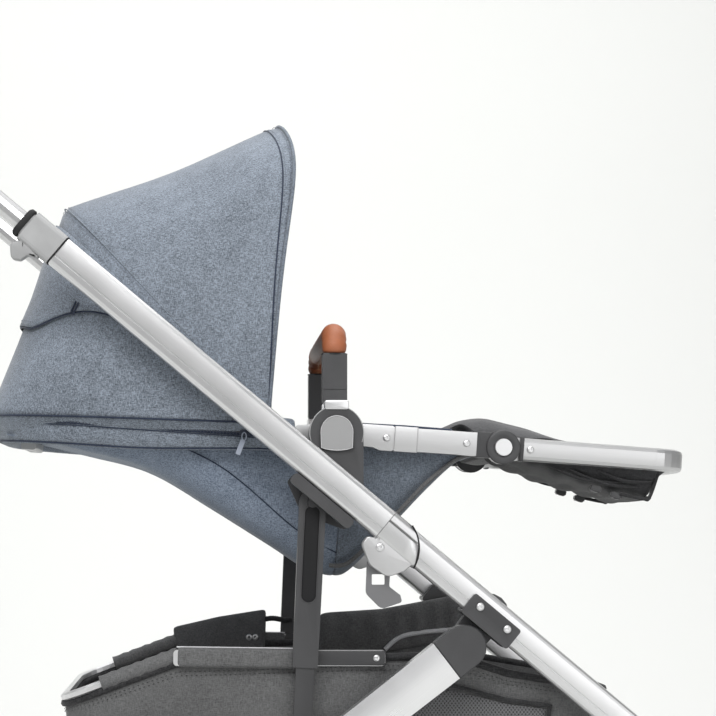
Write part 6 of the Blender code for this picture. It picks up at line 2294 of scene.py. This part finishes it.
class PUSHCHAIR_OT_harness(bpy.types.Operator):
    """Make the straps of the harness"""

    bl_idname = "pushchair.harness"
    bl_label = "Harness"

    def execute(self, context):
        build_harness(finishes_in_use())
        return {"FINISHED"}


class PUSHCHAIR_OT_knee_cover(bpy.types.Operator):
    """Make the padded cover over the leg rest's hinge"""

    bl_idname = "pushchair.knee_cover"
    bl_label = "Knee cover"

    def execute(self, context):
        build_knee_cover(finishes_in_use())
        return {"FINISHED"}


class PUSHCHAIR_OT_legrest(bpy.types.Operator):
    """Make the leg rest's sling, binding and clips"""

    bl_idname = "pushchair.legrest"
    bl_label = "Leg rest"

    def execute(self, context):
        build_legrest_panel(finishes_in_use())
        return {"FINISHED"}


class PUSHCHAIR_OT_bumper(bpy.types.Operator):
    """Make the leather grip of the bumper bar"""

    bl_idname = "pushchair.bumper"
    bl_label = "Bumper grip"

    def execute(self, context):
        build_bumper_grip(finishes_in_use())
        return {"FINISHED"}


class PUSHCHAIR_OT_handle(bpy.types.Operator):
    """Make the leather grip of the handlebar"""

    bl_idname = "pushchair.handle"
    bl_label = "Handle grip"

    def execute(self, context):
        build_handle_grip(finishes_in_use())
        return {"FINISHED"}


class PUSHCHAIR_OT_canopy(bpy.types.Operator):
    """Make the canopy's cover, with its hems, seams and window flap"""

    bl_idname = "pushchair.canopy"
    bl_label = "Canopy"

    def execute(self, context):
        finishes = finishes_in_use()
        build_canopy(finishes, context.scene.pushchair_sizes.cloth_thickness)
        build_window_flap(finishes)
        return {"FINISHED"}


class PUSHCHAIR_OT_basket(bpy.types.Operator):
    """Make the basket's tub, with its binding and stitching"""

    bl_idname = "pushchair.basket"
    bl_label = "Basket"

    def execute(self, context):
        build_basket(finishes_in_use())
        return {"FINISHED"}


class PUSHCHAIR_OT_basket_trim(bpy.types.Operator):
    """Make the basket's mesh panels and their edges"""

    bl_idname = "pushchair.basket_trim"
    bl_label = "Basket trim"

    def execute(self, context):
        build_basket_trim(finishes_in_use())
        return {"FINISHED"}


class PUSHCHAIR_OT_basket_panels(bpy.types.Operator):
    """Make the basket's flap with its snaps, and its quilted side pad"""

    bl_idname = "pushchair.basket_panels"
    bl_label = "Basket flap and pad"

    def execute(self, context):
        build_basket_panels(finishes_in_use())
        return {"FINISHED"}


class PUSHCHAIR_OT_link_bars(bpy.types.Operator):
    """Make the covers, sleeves and wraps of the basket's link bars and rail"""

    bl_idname = "pushchair.link_bars"
    bl_label = "Link bars"

    def execute(self, context):
        build_link_bars(finishes_in_use())
        return {"FINISHED"}


class PUSHCHAIR_OT_stage(bpy.types.Operator):
    """Make the floor, the backdrop and the lights"""

    bl_idname = "pushchair.stage"
    bl_label = "Stage"

    def execute(self, context):
        build_floor()
        build_lights()
        return {"FINISHED"}


OPERATORS = (
    PUSHCHAIR_OT_camera,
    PUSHCHAIR_OT_frame,
    PUSHCHAIR_OT_hardware,
    PUSHCHAIR_OT_fold_joints,
    PUSHCHAIR_OT_groove_shade_lines,
    PUSHCHAIR_OT_hinges,
    PUSHCHAIR_OT_collars,
    PUSHCHAIR_OT_wheels,
    PUSHCHAIR_OT_seat_shell,
    PUSHCHAIR_OT_seat_band,
    PUSHCHAIR_OT_seat_pad,
    PUSHCHAIR_OT_harness,
    PUSHCHAIR_OT_knee_cover,
    PUSHCHAIR_OT_legrest,
    PUSHCHAIR_OT_bumper,
    PUSHCHAIR_OT_handle,
    PUSHCHAIR_OT_canopy,
    PUSHCHAIR_OT_basket,
    PUSHCHAIR_OT_basket_trim,
    PUSHCHAIR_OT_basket_panels,
    PUSHCHAIR_OT_link_bars,
    PUSHCHAIR_OT_stage,
)


class PUSHCHAIR_PT_panel(bpy.types.Panel):
    """The pushchair's colours, sizes and operators."""

    bl_idname = "PUSHCHAIR_PT_panel"
    bl_label = "Pushchair"
    bl_space_type = "VIEW_3D"
    bl_region_type = "UI"
    bl_category = "Pushchair"

    def draw(self, context):
        for group in (context.scene.pushchair_colours, context.scene.pushchair_sizes):
            column = self.layout.column()
            for name in group.__annotations__:
                column.prop(group, name)
        column = self.layout.column(align=True)
        for operator in OPERATORS:
            column.operator(operator.bl_idname)


CLASSES = (PushchairColours, PushchairSizes, *OPERATORS, PUSHCHAIR_PT_panel)


def register():
    """Add the pushchair's settings, operators and panel."""
    for item in CLASSES:
        bpy.utils.register_class(item)
    bpy.types.Scene.pushchair_colours = PointerProperty(type=PushchairColours)
    bpy.types.Scene.pushchair_sizes = PointerProperty(type=PushchairSizes)


def unregister():
    """Take the pushchair's settings, operators and panel away again."""
    del bpy.types.Scene.pushchair_sizes
    del bpy.types.Scene.pushchair_colours
    for item in reversed(CLASSES):
        bpy.utils.unregister_class(item)


def main():
    """Make the whole pushchair, in order."""
    register()
    bpy.ops.pushchair.camera()
    bpy.ops.pushchair.frame()
    bpy.ops.pushchair.hardware()
    bpy.ops.pushchair.fold_joints()
    bpy.ops.pushchair.grooves()
    bpy.ops.pushchair.hinges()
    bpy.ops.pushchair.collars()
    bpy.ops.pushchair.wheels()
    bpy.ops.pushchair.seat_shell()
    bpy.ops.pushchair.seat_band()
    bpy.ops.pushchair.seat_pad()
    bpy.ops.pushchair.harness()
    bpy.ops.pushchair.knee_cover()
    bpy.ops.pushchair.legrest()
    bpy.ops.pushchair.bumper()
    bpy.ops.pushchair.handle()
    bpy.ops.pushchair.canopy()
    bpy.ops.pushchair.basket()
    bpy.ops.pushchair.basket_trim()
    bpy.ops.pushchair.basket_panels()
    bpy.ops.pushchair.link_bars()
    bpy.ops.pushchair.stage()
    boxes = {"cad": BEFORE, "visual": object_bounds()}
    {name: [list(corner) for corner in box] for name, box in boxes.items()}


if __name__ == "__main__":
    main()
